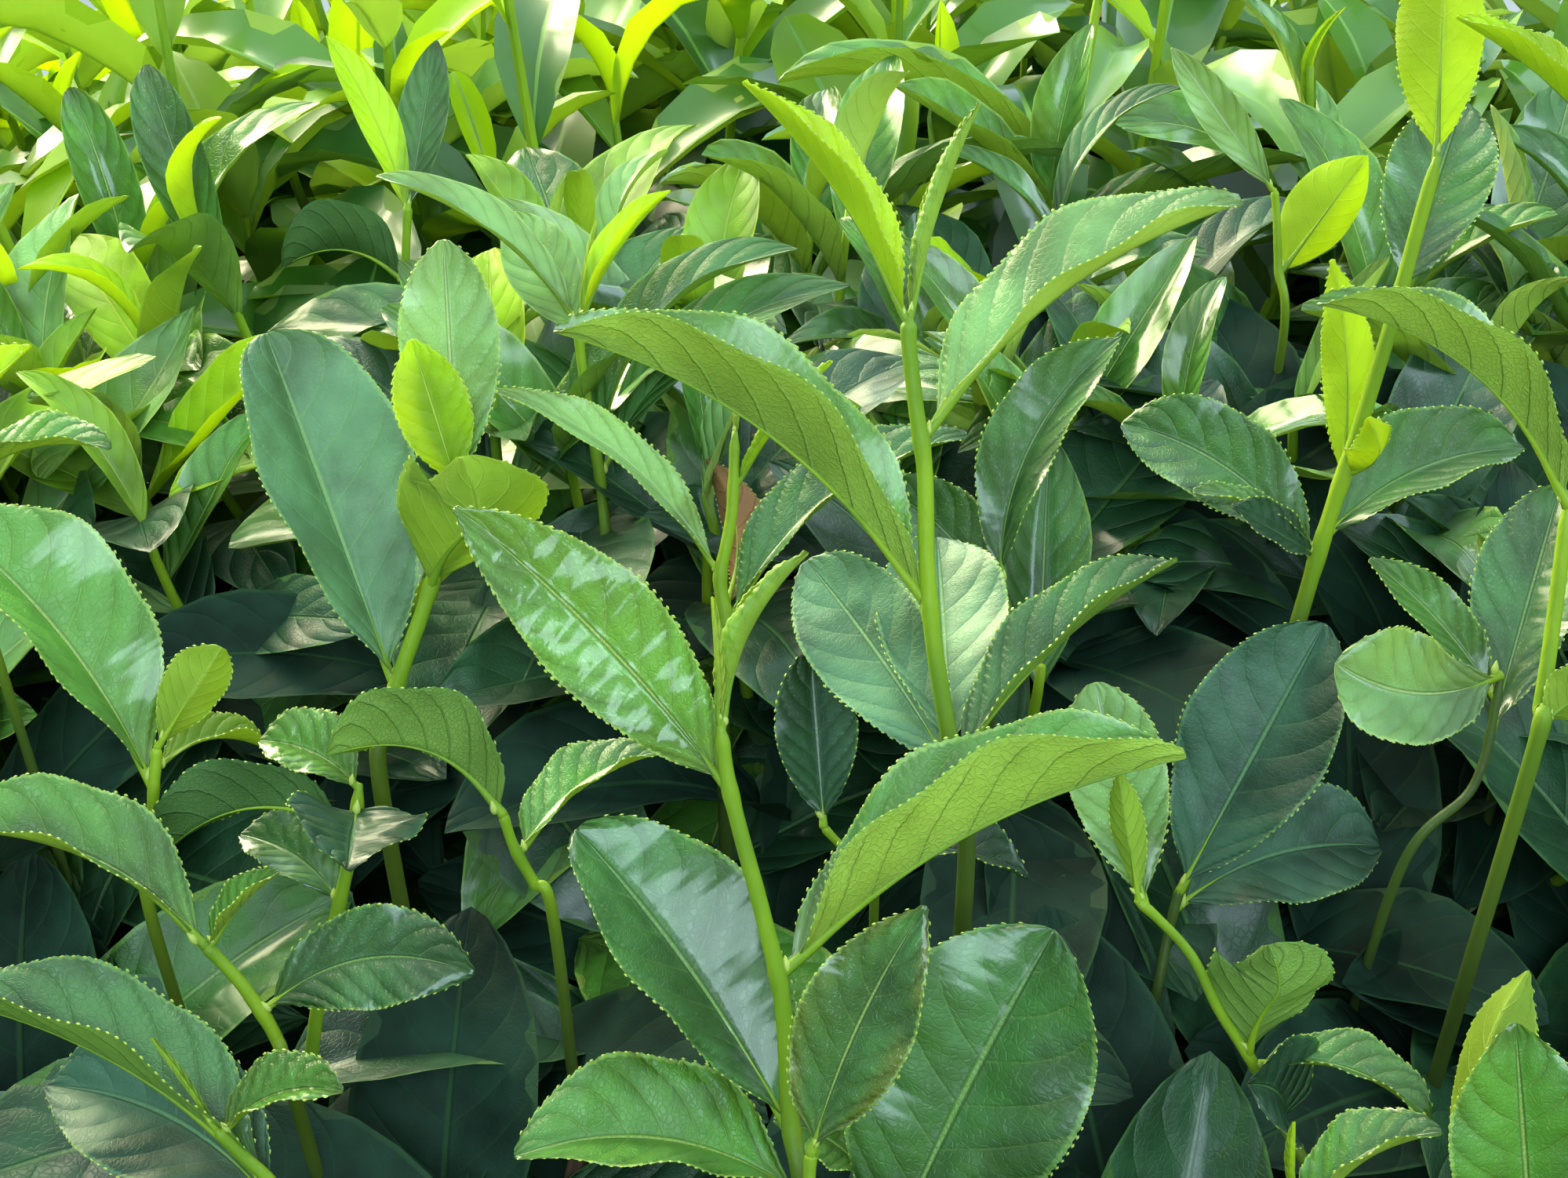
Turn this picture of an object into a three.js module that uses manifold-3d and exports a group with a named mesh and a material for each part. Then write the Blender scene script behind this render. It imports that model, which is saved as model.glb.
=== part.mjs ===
// Tea bush, kept low by plucking: a short trunk with a knuckled head, boughs that rise from it,
// dense masses of foliage, and the young shoots that stand out of the plucking table.
// Millimetres, +Z up. The origin is where the trunk's axis meets the level ground.

import * as THREE from "three";
import { mergeVertices } from "three/addons/utils/BufferGeometryUtils.js";
import Module from "manifold-3d";

const wasm = await Module();
wasm.setup();

const { degToRad, clamp, lerp, smoothstep } = THREE.MathUtils;
const vec = (x, y, z) => new THREE.Vector3(x, y, z);

// Driving sizes
const CLEARANCE = 0.3;
const CROWN = { halfWide: 500, halfDeep: 450, top: 640, middle: 400, skirt: 195 };
const ROUNDING = { spread: 0.88, height: 0.72 };
const LOWEST_LIFT = degToRad(128);
const HEART = vec(0, 0, 330);
const CORE = { outer: 0.9, inner: 0.6, root: 0.87, sideGap: 3, sink: 14, firstLift: degToRad(14) };
const CENTRE_SHARE = 0.42;
const SECTORS = 8;
const SPACE_MARGIN = 1.2;

const TRUNK = { height: 130, foot: 56, neck: 36, head: 47, lean: 12, leanForward: 5 };
const TRUNK_HEAD = { from: 0.45, full: 0.8, shoulder: 0.88, shoulderDrop: 0.35 };
const ROOT_LOBES = { count: 5, depth: 0.2, turn: 0.6 };
const KNUCKLES = { deep: 0.07, fine: 0.05 };
const BOUGH = { base: 14, tip: 8, lowStart: 0.6, highStart: 0.78, inTrunk: 0.5, turnPlay: 0.12, stub: 62 };
const BOUGH_END = { lift: degToRad(70), size: 0.54 };
const BOUGH_BENDS = [0.3, 0.65];
const BOUGH_SWAY = 14;
const CENTRE_BOUGH = { base: 15, tip: 8, start: 0.85, bends: [235, 350], top: 462, stub: 70 };

const BED_LEAVES = 144;
const BED_LEAF = { length: 128, slender: 0.52, lowRise: 16, highRise: 44, fold: 14, bow: 0.09 };
const SPROUTS = 32;
const SPROUT = { short: 45, tall: 105, base: 2.8, tip: 1.7, outward: 0.6, upward: 0.8 };
const SPROUT_LEAVES = { count: 4, first: 0.5, last: 0.97, turn: degToRad(137.5) };
const SPROUT_LEAF = { low: 92, high: 66, slender: 0.44, lowTilt: 72, highTilt: 30, fold: 18, bow: 0.07 };
const LEAF_PLAY = [0.85, 1.1];
const GOLDEN_TURN = Math.PI * (3 - Math.sqrt(5));
const LEAF_THICKNESS = 0.02;
const THINNEST_LEAF = 0.8;
const LEAF_BASE_POWER = 0.95;
const HOOK_START = 0.6;
const GUARD = 0.9;
const WELD = 0.001;
const FINEST = 0.0001;
const STEM_SAMPLES = 90;
const FOOT_DRAWN_IN = 0.97;

// The young shoots at the front are set by hand as they look from one point above the front of the
// bush, on a sheet that leans back square to the line of sight. Places on the sheet are mm to the
// right and mm down from its top left corner, and a depth is how far a place lies from that point
// along the line of sight. The sheet is 200 mm wide and 150 mm high at a depth of SIGHT.reach.
const SIGHT = { eye: vec(0, -468, 808), tilt: degToRad(30), reach: 275, middle: [99.95, 75.1] };
const AXIS = vec(0, Math.cos(SIGHT.tilt), -Math.sin(SIGHT.tilt));
const RIGHT = vec(1, 0, 0);
const UPRIGHT = vec(0, Math.sin(SIGHT.tilt), Math.cos(SIGHT.tilt));

// Each hand-set shoot: its stem from below to its tip, with the stem's diameter there, and its
// leaves. A leaf has the place where it leaves the stem, its tip, how much nearer its tip is than
// its root, its width, its roll (0 shows the upper face, 180 the underside), the fold of its two
// halves in degrees, and the bow of its midrib as a share of its length. A hook turns the tip up,
// and a sharp above or below 0.85 gives a more or a less pointed tip.
const HAND_SET = [
  {
    name: "shoot_front", depth: [262, 246], girth: [3.2, 2.2],
    stem: [[102.5, 156], [100.8, 143], [99.8, 128], [97.2, 116.5], [94.5, 106.5], [92.8, 99.5], [91.8, 92.5]],
    leaves: [
      { root: [91.8, 93], tip: [90.8, 76], near: 5, wide: 3, roll: 80, fold: 70 },
      { root: [91.9, 93.5], tip: [103.1, 70.4], near: 3, wide: 10, roll: 92, fold: 68, bow: 0.095, sharp: 1 },
      { root: [92.6, 101.5], tip: [57.8, 64.7], near: 6, wide: 15.5, roll: 12, fold: 12, bow: 0.035, sharp: 1 },
      { root: [100, 124.5], tip: [151.3, 96.6], near: 0, wide: 23, roll: 72, fold: 48, bow: 0.078 },
      { root: [101.2, 145], tip: [73.3, 105.8], near: -8, wide: 24, roll: 28, fold: 26, bow: 0.03, sharp: 0.7 },
      { root: [102, 153], tip: [65.5, 147.6], near: 8, wide: 20, roll: 40, fold: 30, bow: 0.12 },
    ],
  },
  {
    name: "shoot_front_side", depth: [250, 248], girth: [2, 1.8],
    stem: [[103.5, 160], [103.2, 151], [103.4, 147]],
    leaves: [
      { root: [103.3, 147.5], tip: [118.1, 115.5], near: 6, wide: 14, roll: 10, fold: 12, bow: 0.04, sharp: 1 },
    ],
  },
  {
    name: "shoot_front_low", depth: [268, 268], girth: [2, 1.4],
    stem: [[112, 168], [110.6, 152], [110.4, 138]],
    leaves: [
      { root: [111.8, 164], tip: [134.5, 118.6], near: 4, wide: 29, roll: 4, fold: 10, bow: 0.02, sharp: 0.7 },
      { root: [110.6, 150], tip: [98.5, 143], near: 2, wide: 13, roll: 40, fold: 20, bow: 0.1 },
    ],
  },
  {
    name: "shoot_tall", depth: [280, 266], girth: [3.2, 2.4],
    stem: [[123.2, 110], [121.5, 97], [119.2, 83], [118.2, 72], [117.9, 60], [116.8, 52], [115.9, 44], [115.9, 40.5]],
    leaves: [
      { root: [115.9, 41.5], tip: [94.6, 10.4], near: 3, wide: 9.5, roll: 64, fold: 58, bow: 0.053, sharp: 1 },
      { root: [116.2, 41], tip: [125, 13], near: 0, wide: 6.5, roll: 100, fold: 66, bow: 0.03, sharp: 1 },
      { root: [117.6, 56], tip: [158.5, 25.8], near: 0, wide: 19, roll: 62, fold: 32, bow: 0.09 },
      { root: [118.4, 77.5], tip: [70.5, 42.2], near: 0, wide: 22, roll: 71, fold: 53, bow: 0.097 },
      { root: [121.5, 97.5], tip: [150.2, 71.5], near: -10, wide: 14, roll: 55, fold: 35, bow: 0.06 },
      { root: [121.6, 99], tip: [102.8, 71.5], near: -20, wide: 17, roll: 0, fold: 10, bow: 0.02, sharp: 0.7 },
      { root: [121.3, 97], tip: [119.5, 68.5], near: -26, wide: 19, roll: 0, fold: 12, sharp: 0.7 },
    ],
  },
  {
    name: "shoot_left", depth: [300, 292], girth: [3.3, 2.4],
    stem: [[48.6, 101], [49.2, 93], [51, 86], [53.5, 79], [55.2, 74], [57.5, 68], [58.5, 62]],
    leaves: [
      { root: [49.8, 87.5], tip: [33.8, 42.5], near: -5, wide: 26, roll: 25, fold: 26, sharp: 0.62 },
      { root: [58.8, 63], tip: [56.5, 30.5], near: -4, wide: 14, roll: 0, fold: 10, sharp: 0.75 },
      { root: [58.2, 62.5], tip: [52.4, 43.2], near: 3, wide: 10.5, roll: 0, fold: 18 },
      { root: [55, 75], tip: [65.5, 65.2], near: 14, wide: 24, roll: 148, fold: 26, bow: 0.1, hook: 0.45, sharp: 0.7 },
    ],
  },
  {
    name: "shoot_behind", depth: [330, 326], girth: [3.2, 2],
    stem: [[92, 86], [92.6, 80], [91.8, 74], [92.5, 70], [93.2, 66], [93.5, 62], [93.7, 55]],
    leaves: [
      { root: [91.8, 73.5], tip: [62.8, 49.8], near: 4, wide: 9.5, roll: 45, fold: 24, bow: 0.095 },
      { root: [93.6, 62.5], tip: [106.2, 46], near: 4, wide: 6, roll: 80, fold: 60, bow: 0.03 },
      { root: [93.7, 56], tip: [93.5, 50], near: 0, wide: 2.4, roll: 80, fold: 70 },
      { root: [92.6, 80], tip: [123.5, 55.6], near: -2, wide: 16, roll: 55, fold: 24, bow: 0.12 },
    ],
  },
  {
    name: "shoot_back_left", depth: [365, 355], girth: [2.6, 2],
    stem: [[77.5, 72], [76.6, 62], [75, 52], [74, 45], [73.8, 41]],
    leaves: [
      { root: [73.9, 41.5], tip: [47.8, 22.5], near: 5, wide: 11, roll: 60, fold: 30, bow: 0.097 },
      { root: [74, 41], tip: [76, 28], near: 0, wide: 2.6, roll: 80, fold: 70 },
      { root: [74, 41.5], tip: [85.5, 24.2], near: 2, wide: 8, roll: 60, fold: 45, bow: 0.06 },
      { root: [73.9, 43], tip: [65.5, 27], near: -8, wide: 13, roll: 0, fold: 14 },
      { root: [75.8, 58], tip: [102, 31.8], near: 0, wide: 15, roll: 60, fold: 25, bow: 0.18 },
      { root: [76.4, 61], tip: [108.5, 36.5], near: -9, wide: 14, roll: 40, fold: 25, bow: 0.14 },
    ],
  },
  {
    name: "shoot_far_left", depth: [455, 445], girth: [2.8, 2.2],
    stem: [[51.8, 45], [51.6, 37], [51.8, 30], [52, 26]],
    leaves: [
      { root: [51.9, 27.5], tip: [41.5, 4.5], near: 4, wide: 10, roll: 20, fold: 20, bow: 0.05 },
      { root: [52, 27], tip: [55.7, 5], near: -4, wide: 11, roll: 10, fold: 15 },
      { root: [51.7, 36], tip: [36, 34], near: 0, wide: 22, roll: 120, fold: 30, bow: 0.2 },
    ],
  },
  {
    name: "shoot_right", depth: [340, 304], girth: [3.6, 2.6],
    stem: [[162.5, 90], [166.5, 76], [169.5, 66], [173.5, 54], [177.5, 41], [180.5, 30], [183.3, 20]],
    leaves: [
      { root: [183.3, 20.5], tip: [184.5, -9], near: 2, wide: 13, roll: 175, fold: 14, sharp: 0.75 },
      { root: [178.3, 38], tip: [186.5, 13], near: -10, wide: 16, roll: 0, fold: 12, sharp: 0.7 },
      { root: [171, 62], tip: [169.8, 33], near: 6, wide: 8.5, roll: 175, fold: 18, bow: 0.05, sharp: 1 },
      { root: [168.8, 69], tip: [194.5, 57.2], near: -6, wide: 19, roll: 35, fold: 24, bow: 0.1 },
      { root: [167.6, 72], tip: [143, 54], near: -12, wide: 17, roll: 20, fold: 16, bow: 0.1, sharp: 0.7 },
      { root: [168.2, 70], tip: [152, 62.8], near: 2, wide: 6, roll: 70, fold: 20, bow: 0.1, sharp: 0.65 },
      { root: [168, 71], tip: [157, 64.5], near: 8, wide: 8, roll: 40, fold: 20 },
      { root: [171.6, 60], tip: [176, 54.5], near: 10, wide: 9, roll: 120, fold: 30, bow: -0.2, hook: 0.2 },
    ],
  },
  {
    name: "shoot_right_edge", depth: [280, 272], girth: [3, 2.4],
    stem: [[195, 98], [196.5, 90], [198, 80], [200, 64]],
    leaves: [
      { root: [200, 64.5], tip: [167.9, 38.7], near: 2, wide: 17, roll: 88, fold: 38, bow: 0.135 },
      { root: [196.3, 92], tip: [207, 88], near: 4, wide: 9, roll: 150, fold: 20, bow: 0.1 },
    ],
  },
  {
    name: "shoot_right_low", depth: [290, 280], girth: [2.2, 1.6],
    stem: [[168, 154], [164, 144], [160, 136], [155.5, 129], [152, 122], [147.5, 117], [144.8, 114.8]],
    leaves: [
      { root: [144.8, 115.5], tip: [142.6, 98.5], near: 2, wide: 5.5, roll: 175, fold: 30 },
      { root: [146, 116.2], tip: [139.5, 87], near: -5, wide: 13.5, roll: 5, fold: 14, sharp: 0.65 },
      { root: [159.2, 134.5], tip: [168.6, 127.8], near: 14, wide: 22, roll: 148, fold: 26, bow: 0.1, hook: 0.4, sharp: 0.7 },
      { root: [159.8, 135.5], tip: [182.5, 143.5], near: 4, wide: 11, roll: 55, fold: 30, bow: 0.14 },
      { root: [163.5, 143], tip: [159, 138.3], near: 8, wide: 17, roll: 40, fold: 20, bow: 0.16 },
    ],
  },
  {
    name: "shoot_corner", depth: [268, 266], girth: [2.4, 2.2],
    stem: [[196, 172], [195.5, 164]],
    leaves: [
      { root: [195.5, 165], tip: [193.2, 130.3], near: 4, wide: 19, roll: 5, fold: 14 },
      { root: [196, 167], tip: [164, 160], near: 0, wide: 14, roll: 30, fold: 20, bow: 0.1 },
      { root: [195.6, 166], tip: [190.8, 124], near: -14, wide: 16, roll: 150, fold: 24, bow: -0.1, hook: 0.1 },
    ],
  },
  {
    name: "shoot_corner_bud", depth: [262, 261], girth: [1.8, 1.4],
    stem: [[165, 162], [164.8, 152]],
    leaves: [
      { root: [164.8, 153], tip: [165, 143], near: 2, wide: 3.4, roll: 80, fold: 60 },
      { root: [164.9, 157], tip: [184, 144.5], near: 2, wide: 12, roll: 60, fold: 30, bow: 0.12 },
    ],
  },
  {
    name: "shoot_left_mid", depth: [292, 288], girth: [2.4, 1.8],
    stem: [[19, 116], [19.3, 106], [19.6, 100], [20, 95]],
    leaves: [
      { root: [20, 95.5], tip: [28.2, 82.5], near: 2, wide: 9.5, roll: 170, fold: 30, sharp: 0.7 },
      { root: [19.5, 100.5], tip: [-8, 66], near: -3, wide: 25, roll: 35, fold: 28, bow: 0.06, sharp: 0.7 },
      { root: [19.8, 98], tip: [35, 96], near: -17, wide: 8, roll: 60, fold: 30, bow: 0.15 },
    ],
  },
  {
    name: "shoot_left_low", depth: [280, 274], girth: [2.6, 2],
    stem: [[37, 138], [35, 132], [31.5, 126.5], [28.5, 123], [26, 120.5]],
    leaves: [
      { root: [26, 121], tip: [-9, 106], near: 0, wide: 18, roll: 50, fold: 35, bow: 0.12 },
      { root: [26.6, 121], tip: [35.6, 111.2], near: 3, wide: 6, roll: 60, fold: 45, bow: 0.05 },
      { root: [33.3, 129], tip: [60.5, 124.2], near: 4, wide: 13, roll: 10, fold: 5, bow: 0.15 },
    ],
  },
  {
    name: "shoot_left_corner", depth: [262, 256], girth: [2.6, 1.8],
    stem: [[37, 162], [35, 152], [31, 147.5], [27.5, 144]],
    leaves: [
      { root: [34.8, 151.6], tip: [-9, 127], near: 0, wide: 20, roll: 55, fold: 40, bow: 0.08 },
      { root: [27.6, 144.1], tip: [19.2, 132.3], near: 3, wide: 2.6, roll: 80, fold: 70 },
      { root: [28.2, 144.6], tip: [43.8, 139.3], near: 4, wide: 9.5, roll: 45, fold: 30, bow: 0.13 },
      { root: [35.6, 155], tip: [6, 138.5], near: -14, wide: 22, roll: 10, fold: 20, bow: 0.1 },
    ],
  },
  {
    name: "shoot_fan", depth: [312, 292], girth: [3, 2.2],
    stem: [[37.6, 160], [38.2, 148], [39.5, 136], [41, 125], [43.3, 115], [45, 107], [45.8, 100]],
    leaves: [
      { root: [45.4, 103], tip: [44.2, 111], near: 14, wide: 20, roll: 0, fold: 22, sharp: 1.1 },
      { root: [45, 106], tip: [17.5, 112.5], near: 6, wide: 16, roll: 118, fold: 24, bow: 0.22 },
      { root: [45.8, 100.5], tip: [33, 94.5], near: -4, wide: 12, roll: 30, fold: 24, bow: 0.1 },
      { root: [43.3, 115], tip: [30.5, 106.5], near: -6, wide: 12, roll: 30, fold: 24, bow: 0.1 },
    ],
  },
  {
    name: "shoot_droop", depth: [296, 289], girth: [2.4, 1.8],
    stem: [[70.5, 117], [68, 112.5], [65.5, 108], [64, 103.5]],
    leaves: [
      { root: [64.2, 104], tip: [41.4, 96.4], near: 5, wide: 19, roll: 118, fold: 26, bow: 0.2, sharp: 0.8 },
      { root: [66, 109], tip: [84, 96], near: -8, wide: 13, roll: 60, fold: 20, bow: 0.1 },
    ],
  },
  {
    name: "shoot_low_middle", depth: [292, 288], girth: [1.8, 1.4],
    stem: [[111.5, 114], [110.5, 109.5], [107.5, 108], [104.8, 105.3]],
    leaves: [
      { root: [104.9, 105.6], tip: [103.3, 82.5], near: -3, wide: 12, roll: 0, fold: 18 },
      { root: [110.6, 110], tip: [131, 112.2], near: -3, wide: 11, roll: 50, fold: 26, bow: 0.12 },
    ],
  },
  {
    name: "shoot_mid_right", depth: [335, 330], girth: [2.4, 1.8],
    stem: [[126.5, 88], [127.3, 80], [127.6, 73.5]],
    leaves: [
      { root: [127.6, 75], tip: [143, 43], near: -5, wide: 15, roll: 25, fold: 24, bow: 0.12 },
      { root: [127.4, 79], tip: [112, 62], near: -10, wide: 14, roll: 10, fold: 20, bow: 0.1 },
    ],
  },
  {
    name: "shoot_upper_right", depth: [405, 398], girth: [2.4, 1.8],
    stem: [[163.5, 44], [163, 34], [162.8, 28], [162.5, 24]],
    leaves: [
      { root: [162.5, 24.5], tip: [149.3, 6], near: 2, wide: 9, roll: 10, fold: 18 },
      { root: [163, 35], tip: [174.5, 19.8], near: 4, wide: 16, roll: 165, fold: 24 },
    ],
  },
  {
    name: "shoot_top_arch", depth: [425, 420], girth: [2.2, 1.8],
    stem: [[135.5, 42], [135, 34], [134.8, 29]],
    leaves: [
      { root: [134.8, 30], tip: [151, 11], near: 0, wide: 10, roll: 55, fold: 26, bow: 0.17 },
      { root: [134.9, 31], tip: [120, 19], near: 4, wide: 9, roll: 60, fold: 26, bow: 0.1 },
    ],
  },
  {
    name: "shoot_old_right", depth: [327, 324], girth: [2.4, 1.8],
    stem: [[147, 128], [149, 119], [150.5, 113]],
    leaves: [
      { root: [150.5, 114], tip: [169, 79.5], near: 6, wide: 24, roll: 12, fold: 14, sharp: 0.7 },
      { root: [150, 116], tip: [176, 108], near: -6, wide: 22, roll: 20, fold: 14, bow: 0.1, sharp: 0.7 },
    ],
  },
  {
    name: "shoot_sunlit", depth: [312, 308], girth: [2.2, 1.6],
    stem: [[179, 110], [186.5, 101], [188.5, 90]],
    leaves: [
      { root: [188.5, 90.5], tip: [169.6, 84.5], near: 6, wide: 18, roll: 10, fold: 20, bow: -0.1, sharp: 0.5 },
      { root: [188, 95], tip: [174.5, 71.5], near: -8, wide: 11, roll: 30, fold: 24, bow: 0.05 },
      { root: [188, 94], tip: [199, 62], near: -12, wide: 17, roll: 10, fold: 16, sharp: 0.7 },
    ],
  },
  {
    name: "shoot_top_right", depth: [300, 298], girth: [2.4, 1.8],
    stem: [[208, 34], [207, 26], [206, 19]],
    leaves: [
      { root: [206, 20], tip: [185.6, 2.2], near: 0, wide: 9, roll: 70, fold: 50, bow: 0.05, sharp: 1 },
    ],
  },
  {
    name: "shoot_left_edge", depth: [318, 315], girth: [2.2, 1.6],
    stem: [[-4, 72], [-5, 66], [-6, 61]],
    leaves: [
      { root: [-5.8, 62], tip: [14.2, 57.2], near: 2, wide: 11, roll: 70, fold: 30, bow: 0.12 },
      { root: [-5.5, 63], tip: [4, 44], near: 2, wide: 10, roll: 60, fold: 30, bow: 0.1 },
    ],
  },
];

// Materials
const bark = new THREE.MeshStandardMaterial({ color: 0x7a6a55, roughness: 0.9, metalness: 0 });
const oldLeaf = new THREE.MeshStandardMaterial({ color: 0x2f6b3a, roughness: 0.45, metalness: 0 });
const youngLeaf = new THREE.MeshStandardMaterial({ color: 0x86ac3a, roughness: 0.4, metalness: 0 });

// A repeatable number from 0 to 1 for up to three whole numbers
function chance(i, j = 0, k = 0) {
  const value = Math.sin(i * 12.9898 + j * 78.233 + k * 37.719) * 43758.5453;
  return value - Math.floor(value);
}

// Closed forms whose corners are carried to their place on a leaf, a stem or a core
function welded(geometry) {
  geometry.deleteAttribute("normal");
  geometry.deleteAttribute("uv");
  return mergeVertices(geometry, 1e-4);
}

const FORMS = {
  plainLeaf: welded(new THREE.SphereGeometry(1, 4, 2)),
  fineLeaf: welded(new THREE.SphereGeometry(1, 4, 4)),
  twig: welded(new THREE.CylinderGeometry(1, 1, 1, 3, 2)),
  stem: welded(new THREE.CylinderGeometry(1, 1, 1, 5, 5)),
  bough: welded(new THREE.CylinderGeometry(1, 1, 1, 8, 6)),
  trunk: welded(new THREE.CylinderGeometry(1, 1, 1, 20, 13)),
  wedge: welded(new THREE.BoxGeometry(1, 1, 1, 4, 7, 1)),
  disc: welded(new THREE.CylinderGeometry(1, 1, 1, 24, 1)),
};

function carried(form, place) {
  const geometry = form.clone();
  const corners = geometry.attributes.position;
  for (let i = 0; i < corners.count; i += 1) {
    const { x, y, z } = place(corners.getX(i), corners.getY(i), corners.getZ(i));
    corners.setXYZ(i, x, y, z);
  }
  return geometry;
}

// Joining and cutting
function solidOf(geometry) {
  return new wasm.Manifold(
    new wasm.Mesh({
      numProp: 3,
      vertProperties: new Float32Array(geometry.attributes.position.array),
      triVerts: new Uint32Array(geometry.index.array),
    }),
  );
}

function joined(solids) {
  return solids.reduce((whole, solid) => whole.add(solid));
}

function geometryOf(solid) {
  const { vertProperties, triVerts } = solid.getMesh();
  const geometry = new THREE.BufferGeometry();
  geometry.setAttribute("position", new THREE.BufferAttribute(vertProperties, 3));
  geometry.setIndex(new THREE.BufferAttribute(triVerts, 1));
  return geometry;
}

// Whether every edge still has two faces once corners that nearly touch have become one
function staysClosed(solid) {
  const welded = mergeVertices(geometryOf(solid).toNonIndexed(), WELD);
  const { vertProperties, triVerts } = solidOf(welded).getMesh();
  const places = new Map();
  const corner = (i) => {
    const place = [0, 1, 2].map((k) => Math.round(vertProperties[3 * i + k] / FINEST)).join();
    if (!places.has(place)) places.set(place, places.size);
    return places.get(place);
  };
  const faces = new Map();
  for (let i = 0; i < triVerts.length; i += 3) {
    const [a, b, c] = [corner(triVerts[i]), corner(triVerts[i + 1]), corner(triVerts[i + 2])];
    if (a === b || b === c || c === a) continue;
    [[a, b], [b, c], [c, a]].forEach(([from, to]) => {
      const edge = from < to ? `${from},${to}` : `${to},${from}`;
      faces.set(edge, (faces.get(edge) ?? 0) + 1);
    });
  }
  return [...faces.values()].every((count) => count === 2);
}

// Leaves and twigs joined one by one: one that only just touches the rest is left out
function grown(first, additions) {
  return additions.reduce((whole, addition) => {
    const next = whole.add(addition);
    return staysClosed(next) ? next : whole;
  }, first);
}

// The largest piece alone: loose scraps and the walls of sealed hollows are dropped
function largestPiece(solid) {
  return solid.decompose().reduce((best, piece) => (piece.volume() > best.volume() ? piece : best));
}

function boxesMeet(a, b) {
  const one = a.boundingBox();
  const two = b.boundingBox();
  return [0, 1, 2].every((i) => one.min[i] <= two.max[i] && two.min[i] <= one.max[i]);
}

function touches(solid, others) {
  return others.some((other) => boxesMeet(solid, other) && !solid.intersect(other).isEmpty());
}

function namedMesh(name, solid, material) {
  const geometry = geometryOf(largestPiece(solid));
  geometry.computeVertexNormals();
  const mesh = new THREE.Mesh(geometry, material);
  mesh.name = name;
  return mesh;
}

// The crown is a low bun. A lift of 0 is its top, a quarter turn its widest ring, and
// LOWEST_LIFT its skirt. A size under 1 gives the same bun shrunk towards its heart.
function crownPoint(lift, turn, size = 1) {
  const spread = Math.sin(lift) ** ROUNDING.spread;
  const slope = Math.cos(lift);
  const height =
    slope >= 0
      ? lerp(CROWN.middle, CROWN.top, slope ** ROUNDING.height)
      : lerp(CROWN.middle, CROWN.skirt, slope / Math.cos(LOWEST_LIFT));
  const x = spread * CROWN.halfWide * Math.cos(turn);
  const y = spread * CROWN.halfDeep * Math.sin(turn);
  return HEART.clone().lerp(vec(x, y, height), size);
}

function crownNormal(lift, turn) {
  const step = 0.01;
  const downwards = crownPoint(lift + step, turn).sub(crownPoint(lift - step, turn));
  const around = crownPoint(lift, turn + step).sub(crownPoint(lift, turn - step));
  return downwards.cross(around).normalize();
}

// Shares of the crown's surface above each lift, so that sprouts stand evenly on it
const LIFT_STEPS = 240;
const surfaceAbove = [0];
for (let i = 1; i <= LIFT_STEPS; i += 1) {
  const upper = crownPoint(((i - 1) / LIFT_STEPS) * LOWEST_LIFT, 0);
  const lower = crownPoint((i / LIFT_STEPS) * LOWEST_LIFT, 0);
  surfaceAbove.push(surfaceAbove[i - 1] + upper.distanceTo(lower) * (upper.x + lower.x));
}

function liftAt(share) {
  const wanted = share * surfaceAbove[LIFT_STEPS];
  const i = surfaceAbove.findIndex((area) => area >= wanted);
  const part = (wanted - surfaceAbove[i - 1]) / (surfaceAbove[i] - surfaceAbove[i - 1]);
  return ((i - 1 + part) / LIFT_STEPS) * LOWEST_LIFT;
}

// Height of the cores' upper surface over a place in plan
function coreTop(x, y) {
  const share = Math.hypot(x / CROWN.halfWide, y / CROWN.halfDeep) / CORE.outer;
  return crownPoint(Math.asin(clamp(share, 0, 1) ** (1 / ROUNDING.spread)), 0, CORE.outer).z;
}

// A limb along a curve, with its radius at each share of its length
function tube(form, curve, radius, grow = 0) {
  return carried(form, (x, y, z) => {
    const s = y + 0.5;
    const along = curve.getTangent(s);
    const side = along.clone().cross(vec(0, 1, 0)).normalize();
    const front = side.clone().cross(along);
    const r = radius(s) + grow;
    const end = (s > 0.999) - (s < 0.001);
    return curve
      .getPoint(s)
      .addScaledVector(along, end * grow)
      .addScaledVector(side, x * r)
      .addScaledVector(front, z * r);
  });
}

const taper = (base, tip) => (s) => lerp(base, tip, s);

// How wide a leaf is at each share of its length, against its widest place
function widthShare(s, sharp) {
  const outline = (t) => t ** LEAF_BASE_POWER * (1 - t) ** sharp;
  return outline(s) / outline(LEAF_BASE_POWER / (LEAF_BASE_POWER + sharp));
}

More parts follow.
